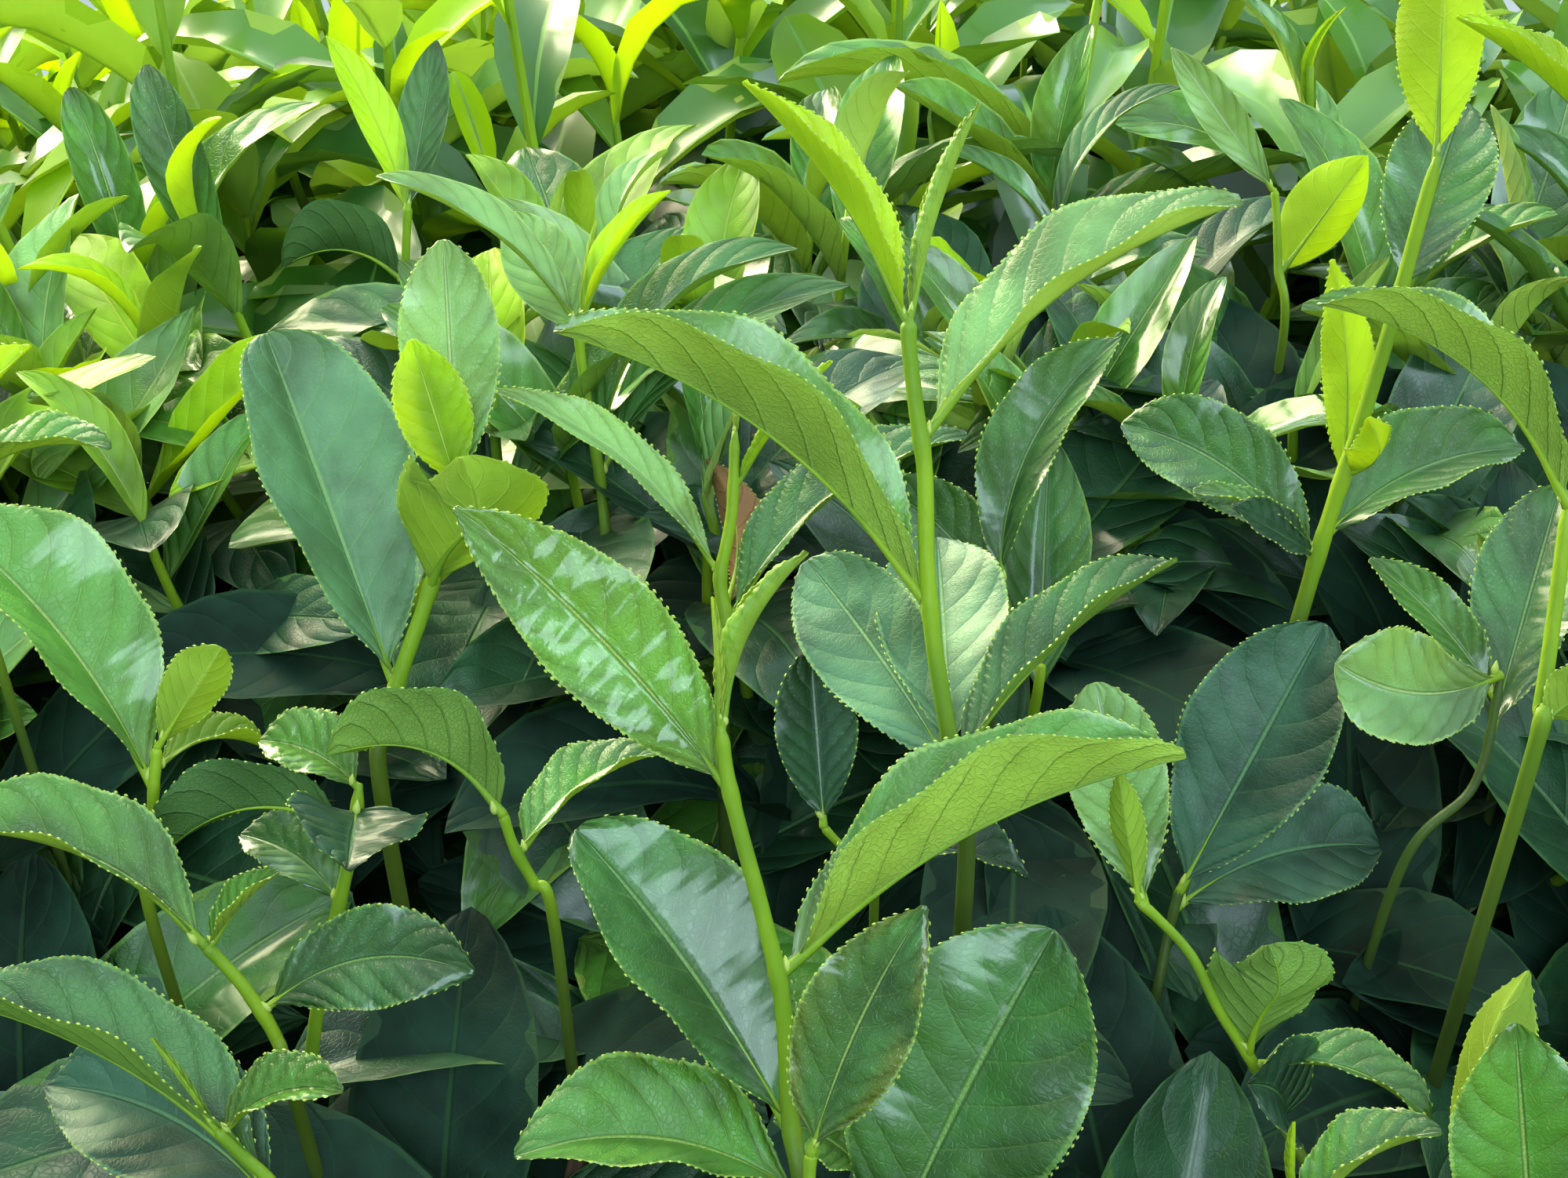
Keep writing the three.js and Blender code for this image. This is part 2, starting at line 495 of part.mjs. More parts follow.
// A leaf from its base to its tip: the midrib is bowed towards rise, both halves fold up to
// the side that face looks to, and the blade keeps a thickness at its midrib
function blade(form, leaf, grow = 0) {
  const { base, tip, face, rise, wide, fold, bow = 0, hook = 0, sharp = 0.85 } = leaf;
  const length = base.distanceTo(tip);
  const control = base.clone().lerp(tip, 0.5).addScaledVector(rise, 2 * bow * length);
  const arc = new THREE.QuadraticBezierCurve3(base, control, tip);
  const turnUp = (s) => hook * length * clamp((s - HOOK_START) / (1 - HOOK_START), 0, 1) ** 2;
  const midrib = (s) => arc.getPoint(s).addScaledVector(rise, turnUp(s));
  const halfThick = Math.max(LEAF_THICKNESS * length, THINNEST_LEAF) / 2 + grow;
  const lean = degToRad(fold);
  return carried(form, (x, y, z) => {
    const s = 1 - Math.acos(clamp(y, -1, 1)) / Math.PI;
    const ring = Math.sqrt(Math.max(0, 1 - y * y));
    const across = ring > 0.01 ? x / ring : 0;
    const upward = ring > 0.01 ? z / ring : 0;
    const step = 0.01;
    const along = midrib(Math.min(1, s + step)).sub(midrib(Math.max(0, s - step))).normalize();
    const normal = face.clone().addScaledVector(along, -face.dot(along)).normalize();
    const side = along.clone().cross(normal);
    const reach = ring > 0.01 ? across * ((wide / 2) * widthShare(s, sharp) + grow) : 0;
    return midrib(s)
      .addScaledVector(side, reach * Math.cos(lean))
      .addScaledVector(normal, Math.abs(reach) * Math.sin(lean) + upward * halfThick);
  });
}

// Places on the leaning sheet
function sheetPoint([across, down], depth) {
  return SIGHT.eye
    .clone()
    .addScaledVector(AXIS, depth)
    .addScaledVector(RIGHT, ((across - SIGHT.middle[0]) / SIGHT.reach) * depth)
    .addScaledVector(UPRIGHT, ((SIGHT.middle[1] - down) / SIGHT.reach) * depth);
}

function onSheet(point) {
  const offset = point.clone().sub(SIGHT.eye);
  const scale = SIGHT.reach / offset.dot(AXIS);
  return [SIGHT.middle[0] + offset.dot(RIGHT) * scale, SIGHT.middle[1] - offset.dot(UPRIGHT) * scale];
}

function sheetDistance([a, b], [c, d]) {
  return Math.hypot(a - c, b - d);
}

// The stem's places, with a foot below them that sinks into the foliage's core
function shootCurve({ stem, depth }) {
  const run = stem.map((place, i) => (i === 0 ? 0 : sheetDistance(place, stem[i - 1])));
  const total = run.reduce((sum, length) => sum + length);
  let sofar = 0;
  const points = stem.map((place, i) => {
    sofar += run[i];
    return sheetPoint(place, lerp(depth[0], depth[1], sofar / total));
  });
  const low = points[0];
  const foot = vec(low.x * FOOT_DRAWN_IN, low.y * FOOT_DRAWN_IN, 0);
  foot.z = Math.min(coreTop(foot.x, foot.y), low.z) - CORE.sink;
  return new THREE.CatmullRomCurve3([foot, ...points], false, "catmullrom", 0.5);
}

function nearestOnStem(curve, place) {
  const samples = curve.getPoints(STEM_SAMPLES);
  const gap = (point) => sheetDistance(onSheet(point), place);
  return samples.reduce((best, point) => (gap(point) < gap(best) ? point : best));
}

// A hand-set leaf, turned about its chord by its roll from facing the sight point
function handSetLeaf(curve, leaf) {
  const base = nearestOnStem(curve, leaf.root);
  const depth = base.clone().sub(SIGHT.eye).dot(AXIS);
  const tip = sheetPoint(leaf.tip, depth - leaf.near);
  const along = tip.clone().sub(base).normalize();
  const towards = SIGHT.eye.clone().sub(base.clone().lerp(tip, 0.5)).normalize();
  const facing = towards.addScaledVector(along, -towards.dot(along)).normalize();
  const rise = facing.clone().cross(along);
  if (rise.dot(UPRIGHT) < 0) rise.negate();
  const roll = degToRad(leaf.roll);
  const face = facing.multiplyScalar(Math.cos(roll)).addScaledVector(rise, Math.sin(roll));
  return { ...leaf, base, tip, face, rise };
}

function handSetShoot(shoot) {
  const curve = shootCurve(shoot);
  const radius = taper(shoot.girth[0] / 2, shoot.girth[1] / 2);
  const leaves = shoot.leaves.map((leaf) => handSetLeaf(curve, leaf));
  const made = (stemGrow, leafGrow) =>
    grown(
      solidOf(tube(FORMS.stem, curve, radius, stemGrow)),
      leaves.map((leaf) => solidOf(blade(FORMS.fineLeaf, leaf, leafGrow))),
    );
  return {
    name: shoot.name,
    solid: made(0, 0),
    socket: made(CLEARANCE, GUARD),
    guard: made(GUARD, GUARD),
  };
}

// Trunk: flared foot with root lobes, slim neck and a swollen head where the boughs leave
function trunkCentre(s) {
  return vec(TRUNK.lean * s * s, -TRUNK.leanForward * s, TRUNK.height * s);
}

function trunkRadius(s, turn) {
  const flare = (TRUNK.foot - TRUNK.neck) * (1 - s) ** 3;
  const head = (TRUNK.head - TRUNK.neck) * smoothstep(s, TRUNK_HEAD.from, TRUNK_HEAD.full);
  const shoulder = 1 - TRUNK_HEAD.shoulderDrop * smoothstep(s, TRUNK_HEAD.shoulder, 1);
  const lobes = ROOT_LOBES.depth * (1 - s) ** 2 * Math.cos(ROOT_LOBES.count * turn + ROOT_LOBES.turn);
  const deep = KNUCKLES.deep * s * Math.sin(3 * turn + 9 * s);
  const knuckles = deep + KNUCKLES.fine * s * Math.cos(7 * turn - 5 * s);
  return (TRUNK.neck + flare + head) * shoulder * (1 + lobes + knuckles);
}

function trunkSolid(grow = 0) {
  return solidOf(
    carried(FORMS.trunk, (x, y, z) => {
      const s = y + 0.5;
      const turn = Math.atan2(-z, x);
      const r = (trunkRadius(s, turn) + grow) * Math.min(1, Math.hypot(x, z));
      const point = trunkCentre(s).add(vec(r * Math.cos(turn), r * Math.sin(turn), 0));
      if (s === 1) point.z += grow;
      return point;
    }),
  );
}

// Boughs: one to each sector and one up the middle. Each starts inside the trunk's head and is
// cut clear of it, and a stub of the foliage goes on from its tip.
const sectorTurn = (index) => degToRad(-90) + (index * 2 * Math.PI) / SECTORS;

function boughCurve(index) {
  const turn = sectorTurn(index) + BOUGH.turnPlay * (chance(index, 1) - 0.5);
  const outward = vec(Math.cos(turn), Math.sin(turn), 0);
  const leaves = trunkCentre(index % 2 === 0 ? BOUGH.lowStart : BOUGH.highStart);
  const start = leaves.addScaledVector(outward, BOUGH.inTrunk * TRUNK.head);
  const end = crownPoint(BOUGH_END.lift, turn, BOUGH_END.size);
  const sideways = vec(-outward.y, outward.x, 0);
  const bends = BOUGH_BENDS.map((share, k) =>
    start
      .clone()
      .lerp(end, share)
      .addScaledVector(sideways, BOUGH_SWAY * (chance(index, 2 + k) - 0.5))
      .addScaledVector(outward, BOUGH_SWAY * (1 - share)),
  );
  return new THREE.CatmullRomCurve3([start, ...bends, end], false, "catmullrom", 0.5);
}

function centreBoughCurve() {
  const start = trunkCentre(CENTRE_BOUGH.start);
  const [low, high] = CENTRE_BOUGH.bends;
  const bends = [vec(start.x - BOUGH_SWAY, start.y, low), vec(BOUGH_SWAY, -BOUGH_SWAY, high)];
  const end = vec(0, 0, CENTRE_BOUGH.top);
  return new THREE.CatmullRomCurve3([start, ...bends, end], false, "catmullrom", 0.5);
}

function stubAfter(curve, length, radius) {
  const along = curve.getTangent(1);
  const start = curve.getPoint(1).addScaledVector(along, CLEARANCE);
  const end = start.clone().addScaledVector(along, length);
  return solidOf(tube(FORMS.bough, new THREE.LineCurve3(start, end), taper(radius, radius)));
}

// Masses: a shell of the crown each, the centre one round and the others wedges round it
function ellipticWell(share, grow) {
  return solidOf(
    carried(FORMS.disc, (x, y, z) => {
      const turn = Math.atan2(-z, x);
      const size = Math.min(1, Math.hypot(x, z));
      const wide = (share * CROWN.halfWide + grow) * size;
      const deep = (share * CROWN.halfDeep + grow) * size;
      return vec(wide * Math.cos(turn), deep * Math.sin(turn), HEART.z + (y + 0.5) * CROWN.top);
    }),
  );
}

function sectorCore(index) {
  const shell = carried(FORMS.wedge, (x, y, z) => {
    const lift = lerp(CORE.firstLift, LOWEST_LIFT, 0.5 - y);
    const size = lerp(CORE.inner, CORE.outer, z + 0.5);
    const gap = CORE.sideGap / (CROWN.halfDeep * Math.sin(lift) ** ROUNDING.spread * size);
    const turn = sectorTurn(index) + 2 * x * (Math.PI / SECTORS - gap);
    return crownPoint(lift, turn, size);
  });
  return solidOf(shell).subtract(ellipticWell(CENTRE_SHARE, CORE.sideGap));
}

function centreCore() {
  const rim = Math.asin((CENTRE_SHARE / CORE.outer) ** (1 / ROUNDING.spread));
  const disc = carried(FORMS.disc, (x, y, z) => {
    const lift = Math.min(1, Math.hypot(x, z)) * rim;
    return crownPoint(lift, Math.atan2(-z, x), y > 0 ? CORE.outer : CORE.inner);
  });
  return solidOf(disc).intersect(ellipticWell(CENTRE_SHARE, -CORE.sideGap));
}

// A sprout is a twig that rises from its mass's core, with leaves that turn round it
function sproutAt(index) {
  const lift = liftAt((index + 0.5) / SPROUTS);
  const turn = index * GOLDEN_TURN;
  const normal = crownNormal(lift, turn);
  const heading = normal.clone().multiplyScalar(SPROUT.outward).add(vec(0, 0, SPROUT.upward)).normalize();
  const height = lerp(SPROUT.short, SPROUT.tall, chance(index, 1) * clamp(normal.z, 0.2, 1));
  const foot = crownPoint(lift, turn, CORE.root);
  const rim = crownPoint(lift, turn);
  const tip = rim.clone().addScaledVector(heading, height);
  return { index, lift, turn, rim, curve: new THREE.QuadraticBezierCurve3(foot, rim, tip) };
}

function sproutLeaf(sprout, order, quarter) {
  const share = order / (SPROUT_LEAVES.count - 1);
  const place = lerp(SPROUT_LEAVES.first, SPROUT_LEAVES.last, share);
  const base = sprout.curve.getPoint(place);
  const along = sprout.curve.getTangent(place);
  const side = along.clone().cross(vec(0, 1, 0)).normalize();
  const front = side.clone().cross(along);
  const seeded = 2 * Math.PI * chance(sprout.index, 4) + quarter * (Math.PI / 2);
  const around = SPROUT_LEAVES.turn * order + seeded;
  const outward = side.multiplyScalar(Math.cos(around)).addScaledVector(front, Math.sin(around));
  const tilt = degToRad(lerp(SPROUT_LEAF.lowTilt, SPROUT_LEAF.highTilt, share));
  const direction = along.clone().multiplyScalar(Math.cos(tilt)).addScaledVector(outward, Math.sin(tilt));
  const face = along.clone().addScaledVector(direction, -along.dot(direction)).normalize();
  const play = lerp(...LEAF_PLAY, chance(sprout.index, 3, order));
  const length = lerp(SPROUT_LEAF.low, SPROUT_LEAF.high, share) * play;
  const tip = base.clone().addScaledVector(direction, length);
  const { slender, fold, bow } = SPROUT_LEAF;
  return { base, tip, face, rise: face, wide: slender * length, fold, bow };
}

// A bed leaf is sunk in its mass's core and leans out over the core's surface
function bedLeaf(index, quarter) {
  const lift = liftAt((index + 0.5) / BED_LEAVES);
  const turn = (index + 0.5) * GOLDEN_TURN;
  const normal = crownNormal(lift, turn);
  const base = crownPoint(lift, turn, CORE.root);
  const level = vec(-Math.sin(turn), Math.cos(turn), 0);
  const upward = normal.clone().cross(level);
  const around = 2 * Math.PI * chance(index, 6) + quarter * (Math.PI / 2);
  const rise = degToRad(lerp(BED_LEAF.lowRise, BED_LEAF.highRise, chance(index, 7)));
  const direction = level
    .multiplyScalar(Math.cos(around))
    .addScaledVector(upward, Math.sin(around))
    .multiplyScalar(Math.cos(rise))
    .addScaledVector(normal, Math.sin(rise));
  const face = normal.addScaledVector(direction, -normal.dot(direction)).normalize();
  const length = BED_LEAF.length * lerp(...LEAF_PLAY, chance(index, 8));
  const tip = base.clone().addScaledVector(direction, length);
  const { slender, fold, bow } = BED_LEAF;
  return { base, tip, face, rise: face, wide: slender * length, fold, bow };
}

// The space that a mass keeps to, tested at every corner of a leaf or twig
function insideSpace(sector, geometry) {
  const corners = geometry.attributes.position;
  for (let i = 0; i < corners.count; i += 1) {
    const x = corners.getX(i) / CROWN.halfWide;
    const y = corners.getY(i) / CROWN.halfDeep;
    const share = Math.hypot(x, y);
    const margin = SPACE_MARGIN / CROWN.halfDeep;
    if (sector < 0 && share > CENTRE_SHARE - margin) return false;
    if (sector >= 0 && share < CENTRE_SHARE + margin) return false;
    const off = Math.atan2(y, x) - sectorTurn(sector);
    const aside = Math.abs(Math.atan2(Math.sin(off), Math.cos(off)));
    if (sector >= 0 && aside > Math.PI / SECTORS - margin / share) return false;
  }
  return true;
}

function sectorOf(point) {
  const x = point.x / CROWN.halfWide;
  const y = point.y / CROWN.halfDeep;
  if (Math.hypot(x, y) < CENTRE_SHARE) return -1;
  const turns = (Math.atan2(y, x) - sectorTurn(0)) / (2 * Math.PI);
  return Math.round((turns - Math.floor(turns)) * SECTORS) % SECTORS;
}

// The first of a leaf's four quarter turns that keeps to its mass's space and clear of the shoots
function fittingLeaf(sector, guards, leafAt) {
  return [0, 1, 2, 3]
    .map((quarter) => blade(FORMS.plainLeaf, leafAt(quarter)))
    .filter((leaf) => insideSpace(sector, leaf))
    .map(solidOf)
    .filter((solid) => !touches(solid, guards))
    .slice(0, 1);
}

function sproutSolids(sprout, sector, guards) {
  const twig = tube(FORMS.twig, sprout.curve, taper(SPROUT.base, SPROUT.tip));
  if (!insideSpace(sector, twig) || touches(solidOf(twig), guards)) return [];
  const orders = Array.from({ length: SPROUT_LEAVES.count }, (_, order) => order);
  const leaves = orders.flatMap((order) =>
    fittingLeaf(sector, guards, (quarter) => sproutLeaf(sprout, order, quarter)),
  );
  return [solidOf(twig), ...leaves];
}

// The bush
const bush = new THREE.Group();
const shoots = HAND_SET.map(handSetShoot);
const guards = shoots.map((shoot) => shoot.guard);
const sockets = joined(shoots.map((shoot) => shoot.socket));

const trunk = trunkSolid();
const roundTrunk = trunkSolid(CLEARANCE);
bush.add(namedMesh("trunk", trunk, bark));

const growth = new Map();
const grow = (sector, solids) => growth.set(sector, [...(growth.get(sector) ?? []), ...solids]);
for (let index = 0; index < BED_LEAVES; index += 1) {
  const sector = sectorOf(bedLeaf(index, 0).base);
  grow(sector, fittingLeaf(sector, guards, (quarter) => bedLeaf(index, quarter)));
}
for (let index = 0; index < SPROUTS; index += 1) {
  const sprout = sproutAt(index);
  const sector = sectorOf(sprout.rim);
  grow(sector, sproutSolids(sprout, sector, guards));
}

for (let sector = -1; sector < SECTORS; sector += 1) {
  const central = sector < 0;
  const curve = central ? centreBoughCurve() : boughCurve(sector);
  const size = central ? CENTRE_BOUGH : BOUGH;
  const bough = solidOf(tube(FORMS.bough, curve, taper(size.base, size.tip))).subtract(roundTrunk);
  const core = (central ? centreCore() : sectorCore(sector)).subtract(sockets);
  const mass = grown(core.add(stubAfter(curve, size.stub, size.tip)), growth.get(sector) ?? []);
  bush.add(namedMesh(central ? "bough_centre" : `bough_${sector + 1}`, bough, bark));
  bush.add(namedMesh(central ? "mass_centre" : `mass_${sector + 1}`, mass, oldLeaf));
}

shoots.forEach((shoot) => bush.add(namedMesh(shoot.name, shoot.solid, youngLeaf)));

export default bush;
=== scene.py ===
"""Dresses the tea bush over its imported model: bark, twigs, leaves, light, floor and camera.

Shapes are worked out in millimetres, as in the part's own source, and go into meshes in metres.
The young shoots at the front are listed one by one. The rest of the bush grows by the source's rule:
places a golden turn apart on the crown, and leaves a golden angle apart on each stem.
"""

import logging
import math
from dataclasses import dataclass
from enum import Enum, IntEnum
from functools import cache
from typing import Any, Sequence

import bpy
import numpy as np
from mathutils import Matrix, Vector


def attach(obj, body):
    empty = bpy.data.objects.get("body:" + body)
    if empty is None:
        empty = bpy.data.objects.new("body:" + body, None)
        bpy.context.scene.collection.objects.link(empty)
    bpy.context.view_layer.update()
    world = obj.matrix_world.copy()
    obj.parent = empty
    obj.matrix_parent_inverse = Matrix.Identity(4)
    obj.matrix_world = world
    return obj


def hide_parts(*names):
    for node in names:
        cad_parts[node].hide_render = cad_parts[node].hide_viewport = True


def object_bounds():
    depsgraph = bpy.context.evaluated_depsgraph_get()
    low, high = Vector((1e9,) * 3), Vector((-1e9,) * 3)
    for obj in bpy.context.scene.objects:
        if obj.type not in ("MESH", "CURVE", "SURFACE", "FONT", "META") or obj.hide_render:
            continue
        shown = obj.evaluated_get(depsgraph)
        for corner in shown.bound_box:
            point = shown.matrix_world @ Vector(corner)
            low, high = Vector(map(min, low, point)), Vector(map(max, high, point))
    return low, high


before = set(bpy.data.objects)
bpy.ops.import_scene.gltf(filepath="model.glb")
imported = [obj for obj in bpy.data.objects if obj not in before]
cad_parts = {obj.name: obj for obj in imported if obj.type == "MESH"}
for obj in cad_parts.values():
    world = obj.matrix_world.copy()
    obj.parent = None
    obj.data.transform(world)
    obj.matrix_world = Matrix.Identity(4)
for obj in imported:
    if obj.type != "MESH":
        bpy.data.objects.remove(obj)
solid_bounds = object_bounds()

log = logging.getLogger("tea_bush")

Array = np.ndarray
Place = tuple[float, float]
Colour = tuple[int, int, int]
Tubes = tuple[Array, tuple[Array, Array], Array]

METRES = 0.001
GOLDEN_TURN = math.pi * (3 - math.sqrt(5))
LEAF_TURN = math.radians(137.5)
VEIN_PAIRS = 8.0
VEIN_LEAN = 0.16
VEIN_CURVE = 0.08


class Tone(Enum):
    """How old a leaf is and how it looks, or the painted shade deep in the crown. The value is its place in
    the order of finishes.
    """

    DARK = 0
    MATURE = 1
    MID = 2
    PALE = 3
    YOUNG = 4
    BRIGHT = 5
    GLOSSY = 6
    BUD = 7
    BROWN = 8
    TINTED = 9
    # Painted shade: a darker green that stands for the shade deep in the crown, not an age.
    DEEP = 10
    DULL = 11
    DIM = 12


DARK, MATURE, MID, PALE, YOUNG, BRIGHT, GLOSSY, BUD, BROWN, TINTED, DEEP, DULL, DIM = Tone


class StemSlot(IntEnum):
    """Finishes of the listed shoots' stems, in their order in the piece."""

    GREEN = 0
    BEAD = 1
    WOOD = 2
    RIB = 3
    # Darker stem finish: partly older wood, partly painted shade for stems hidden among the leaves.
    OLD = 4


# Arrays


def unit(vectors: Array) -> Array:
    """Vectors divided by their own lengths."""
    return vectors / np.maximum(np.linalg.norm(vectors, axis=-1, keepdims=True), 1e-12)


def dot(a: Array, b: Array) -> Array:
    """Dot product along the last axis, which is kept."""
    return np.sum(a * b, axis=-1, keepdims=True)


def between(low: Any, high: Any, share: Any) -> Any:
    """Straight blend from low to high."""
    return low + (high - low) * share


def ease(x: Any, low: float, high: float) -> Any:
    """Smooth step: 0 below low, 1 above high, and 3t^2 - 2t^3 between them."""
    t = np.clip((x - low) / (high - low), 0, 1)
    return t * t * (3 - 2 * t)


def chance(i: Any, j: Any = 0, k: Any = 0) -> Any:
    """A repeatable number from 0 to 1 for up to three whole numbers, as in the part's source."""
    value = np.sin(np.asarray(i) * 12.9898 + np.asarray(j) * 78.233 + np.asarray(k) * 37.719) * 43758.5453
    return value - np.floor(value)


def spline(points: Array, shares: Array) -> Array:
    """Uniform Catmull-Rom curve through points, with its ends mirrored.

    Args:
        points: The points that it passes through, (p, 3).
        shares: Shares of the way along it, (n,).

    Returns:
        Places on the curve, (n, 3).
    """
    ends = np.vstack([2 * points[0] - points[1], points, 2 * points[-1] - points[-2]])
    place = np.clip(shares, 0, 1) * (len(points) - 1)
    i = np.minimum(place.astype(int), len(points) - 2)
    t = (place - i)[:, None]
    a, b, c, d = (ends[i + k] for k in range(4))
    return 0.5 * (
        2 * b + (c - a) * t + (2 * a - 5 * b + 4 * c - d) * t**2 + (3 * b - a - 3 * c + d) * t**3
    )


def bend(start: Array, middle: Array, end: Array, shares: Array) -> Array:
    """Quadratic curves from start to end, drawn towards middle.

    Args:
        start: First points, (n, 3).
        middle: Control points, (n, 3).
        end: Last points, (n, 3).
        shares: Shares of the way along, (r,) or (n, r).

    Returns:
        Places on the curves, (n, r, 3).
    """
    t = np.broadcast_to(shares, (len(start), np.shape(shares)[-1]))[..., None]
    return (1 - t) ** 2 * start[:, None] + 2 * t * (1 - t) * middle[:, None] + t**2 * end[:, None]


def width_share(s: Array, sharp: Array) -> Array:
    """Width of a leaf at share s of its length, against its widest: s^0.95 (1 - s)^sharp, to 1."""
    power = 0.95
    peak = power / (power + sharp)
    return s**power * (1 - s) ** sharp / (peak**power * (1 - peak) ** sharp)


# Meshes


class Skin:
    """Closed tubes and leaves gathered into one mesh, with a flat map and a finish for each face."""

    def __init__(self) -> None:
        """Starts empty."""
        self.corners: list[Array] = []
        self.flats: list[Array] = []
        self.faces: list[Array] = []
        self.finishes: list[Array] = []
        self.count = 0

    def add(self, rings: Array, ends: tuple[Array, Array], flat: Array, finish: Any) -> None:
        """Adds closed tubes, each a stack of rings with a point at either end.

        A quad joins each ring's sides to the next ring's, and a fan joins the end rings to
        their points. Rings run so that across x along points outwards.

        Args:
            rings: Corners, (n, rings, sides, 3), in millimetres.
            ends: First and last points, each (n, 3).
            flat: Places on the flat map, (rings, sides, 2).
            finish: Number of the finish, for all, for each tube or for each of its sides.
        """
        n, rows, sides, _ = rings.shape
        if n == 0:
            return
        first, last = ends
        each = rows * sides + 2
        corners = np.concatenate([rings.reshape(n, -1, 3), first[:, None], last[:, None]], axis=1)
        tips = np.array([[0.5, 0.0], [0.5, 1.0]])
        flats = np.concatenate([flat.reshape(-1, 2), tips])
        k = np.arange(sides)
        following = (k + 1) % sides
        row = np.arange(rows - 1)[:, None] * sides
        quads = np.stack([row + k, row + following, row + sides + following, row + sides + k], axis=-1)
        low = np.stack([np.full(sides, each - 2), following, k, np.full(sides, -1)], axis=-1)
        top = (rows - 1) * sides
        high = np.stack([top + k, top + following, np.full(sides, each - 1), np.full(sides, -1)], axis=-1)
        faces = np.concatenate([quads.reshape(-1, 4), low, high])
        shift = self.count + np.arange(n)[:, None, None] * each
        self.faces.append(np.where(faces >= 0, faces + shift, -1).reshape(-1, 4))
        self.corners.append(corners.reshape(-1, 3))
        self.flats.append(np.broadcast_to(flats, (n, each, 2)).reshape(-1, 2))
        strip = np.broadcast_to(finish, (n, sides))
        self.finishes.append(np.tile(strip, (1, rows + 1)).ravel())
        self.count += n * each

    def add_tubes(self, lines: Array, radius: Array, sides: int, finish: Any = 0) -> None:
        """Adds round tubes along lines.

        Args:
            lines: Middle lines, (n, rows, 3).
            radius: Radii, (rows,), (n, rows) or (n, rows, sides).
            sides: Corners of a ring.
            finish: Number of their finish, or one number for each, (n, 1).
        """
        rings, ends, flat = tube_rings(lines, radius, sides)
        self.add(rings, ends, flat, finish)

    def object(self, name: str, materials: Sequence[bpy.types.Material], crease: float = 75) -> Any:
        """Makes the mesh and its object, in metres, with its place in the mesh.

        Args:
            name: Name of the object.
            materials: Its finishes, in the order of their numbers.
            crease: Angle in degrees past which an edge is sharp.

        Returns:
            The object.
        """
        corners = np.concatenate(self.corners) * METRES
        faces = np.concatenate(self.faces)
        used = faces >= 0
        loops = faces[used]
        starts = np.concatenate([[0], np.cumsum(used.sum(axis=1))[:-1]])
        mesh = bpy.data.meshes.new(name)
        mesh.vertices.add(len(corners))
        mesh.vertices.foreach_set("co", corners.ravel())
        mesh.loops.add(len(loops))
        mesh.polygons.add(len(faces))
        mesh.polygons.foreach_set("loop_start", starts.astype(np.int32))
        mesh.polygons.foreach_set("vertices", loops.astype(np.int32))
        mesh.polygons.foreach_set("material_index", np.concatenate(self.finishes).astype(np.int32))
        mesh.polygons.foreach_set("use_smooth", np.ones(len(faces), dtype=bool))
        layer = mesh.uv_layers.new(name="flat")
        layer.uv.foreach_set("vector", np.concatenate(self.flats)[loops].astype(np.float32).ravel())
        mesh.update(calc_edges=True)
        mesh.set_sharp_from_angle(angle=math.radians(crease))
        for material in materials:
            mesh.materials.append(material)
        piece = bpy.data.objects.new(name, mesh)
        bpy.context.scene.collection.objects.link(piece)
        log.info("%s: %d faces", name, len(faces))
        return piece


def tube_rings(line: Array, radius: Array, sides: int) -> Tubes:
    """Round tubes along lines: line + radius (side cos a + front sin a) at each angle a.

    Args:
        line: Middle lines, (n, rows, 3).
        radius: Radii, (rows,), (n, rows) or (n, rows, sides).
        sides: Corners of a ring.

    Returns:
        The rings, their end points, and their flat map.
    """
    n, rows, _ = line.shape
    along = unit(np.gradient(line, axis=1))
    steady = np.where(np.abs(along[..., 1:2]) > 0.97, np.array([1.0, 0, 0]), np.array([0, 1.0, 0]))
    side = unit(np.cross(along, steady))
    front = np.cross(along, side)
    turn = np.arange(sides) * (2 * math.pi / sides)
    if radius.ndim < 3:
        radius = np.broadcast_to(radius, (n, rows))[..., None]
    reach = radius[..., None]
    around = side[:, :, None] * np.cos(turn)[:, None] + front[:, :, None] * np.sin(turn)[:, None]
    rings = line[:, :, None] + around * reach
    cap = 0.4 * radius[:, :, 0]
    first = line[:, 0] - along[:, 0] * cap[:, :1]
    last = line[:, -1] + along[:, -1] * cap[:, -1:]
    flat = np.stack(np.meshgrid(turn / (2 * math.pi), np.linspace(0, 1, rows)), axis=-1)
    return rings, (first, last), flat


@dataclass
class LeafSet:
    """Leaves as arrays, one row each, in millimetres and degrees."""

    base: Array
    tip: Array
    face: Array
    rise: Array
    wide: Array
    fold: Array
    bow: Array
    hook: Array
    sharp: Array
    tone: Array
    wave: Array
    twist: Array
    curl: Array

    def chosen(self, keep: Array) -> "LeafSet":
        """The leaves that keep says."""
        return LeafSet(**{name: values[keep] for name, values in vars(self).items()})

    def __len__(self) -> int:
        """How many leaves there are."""
        return len(self.base)


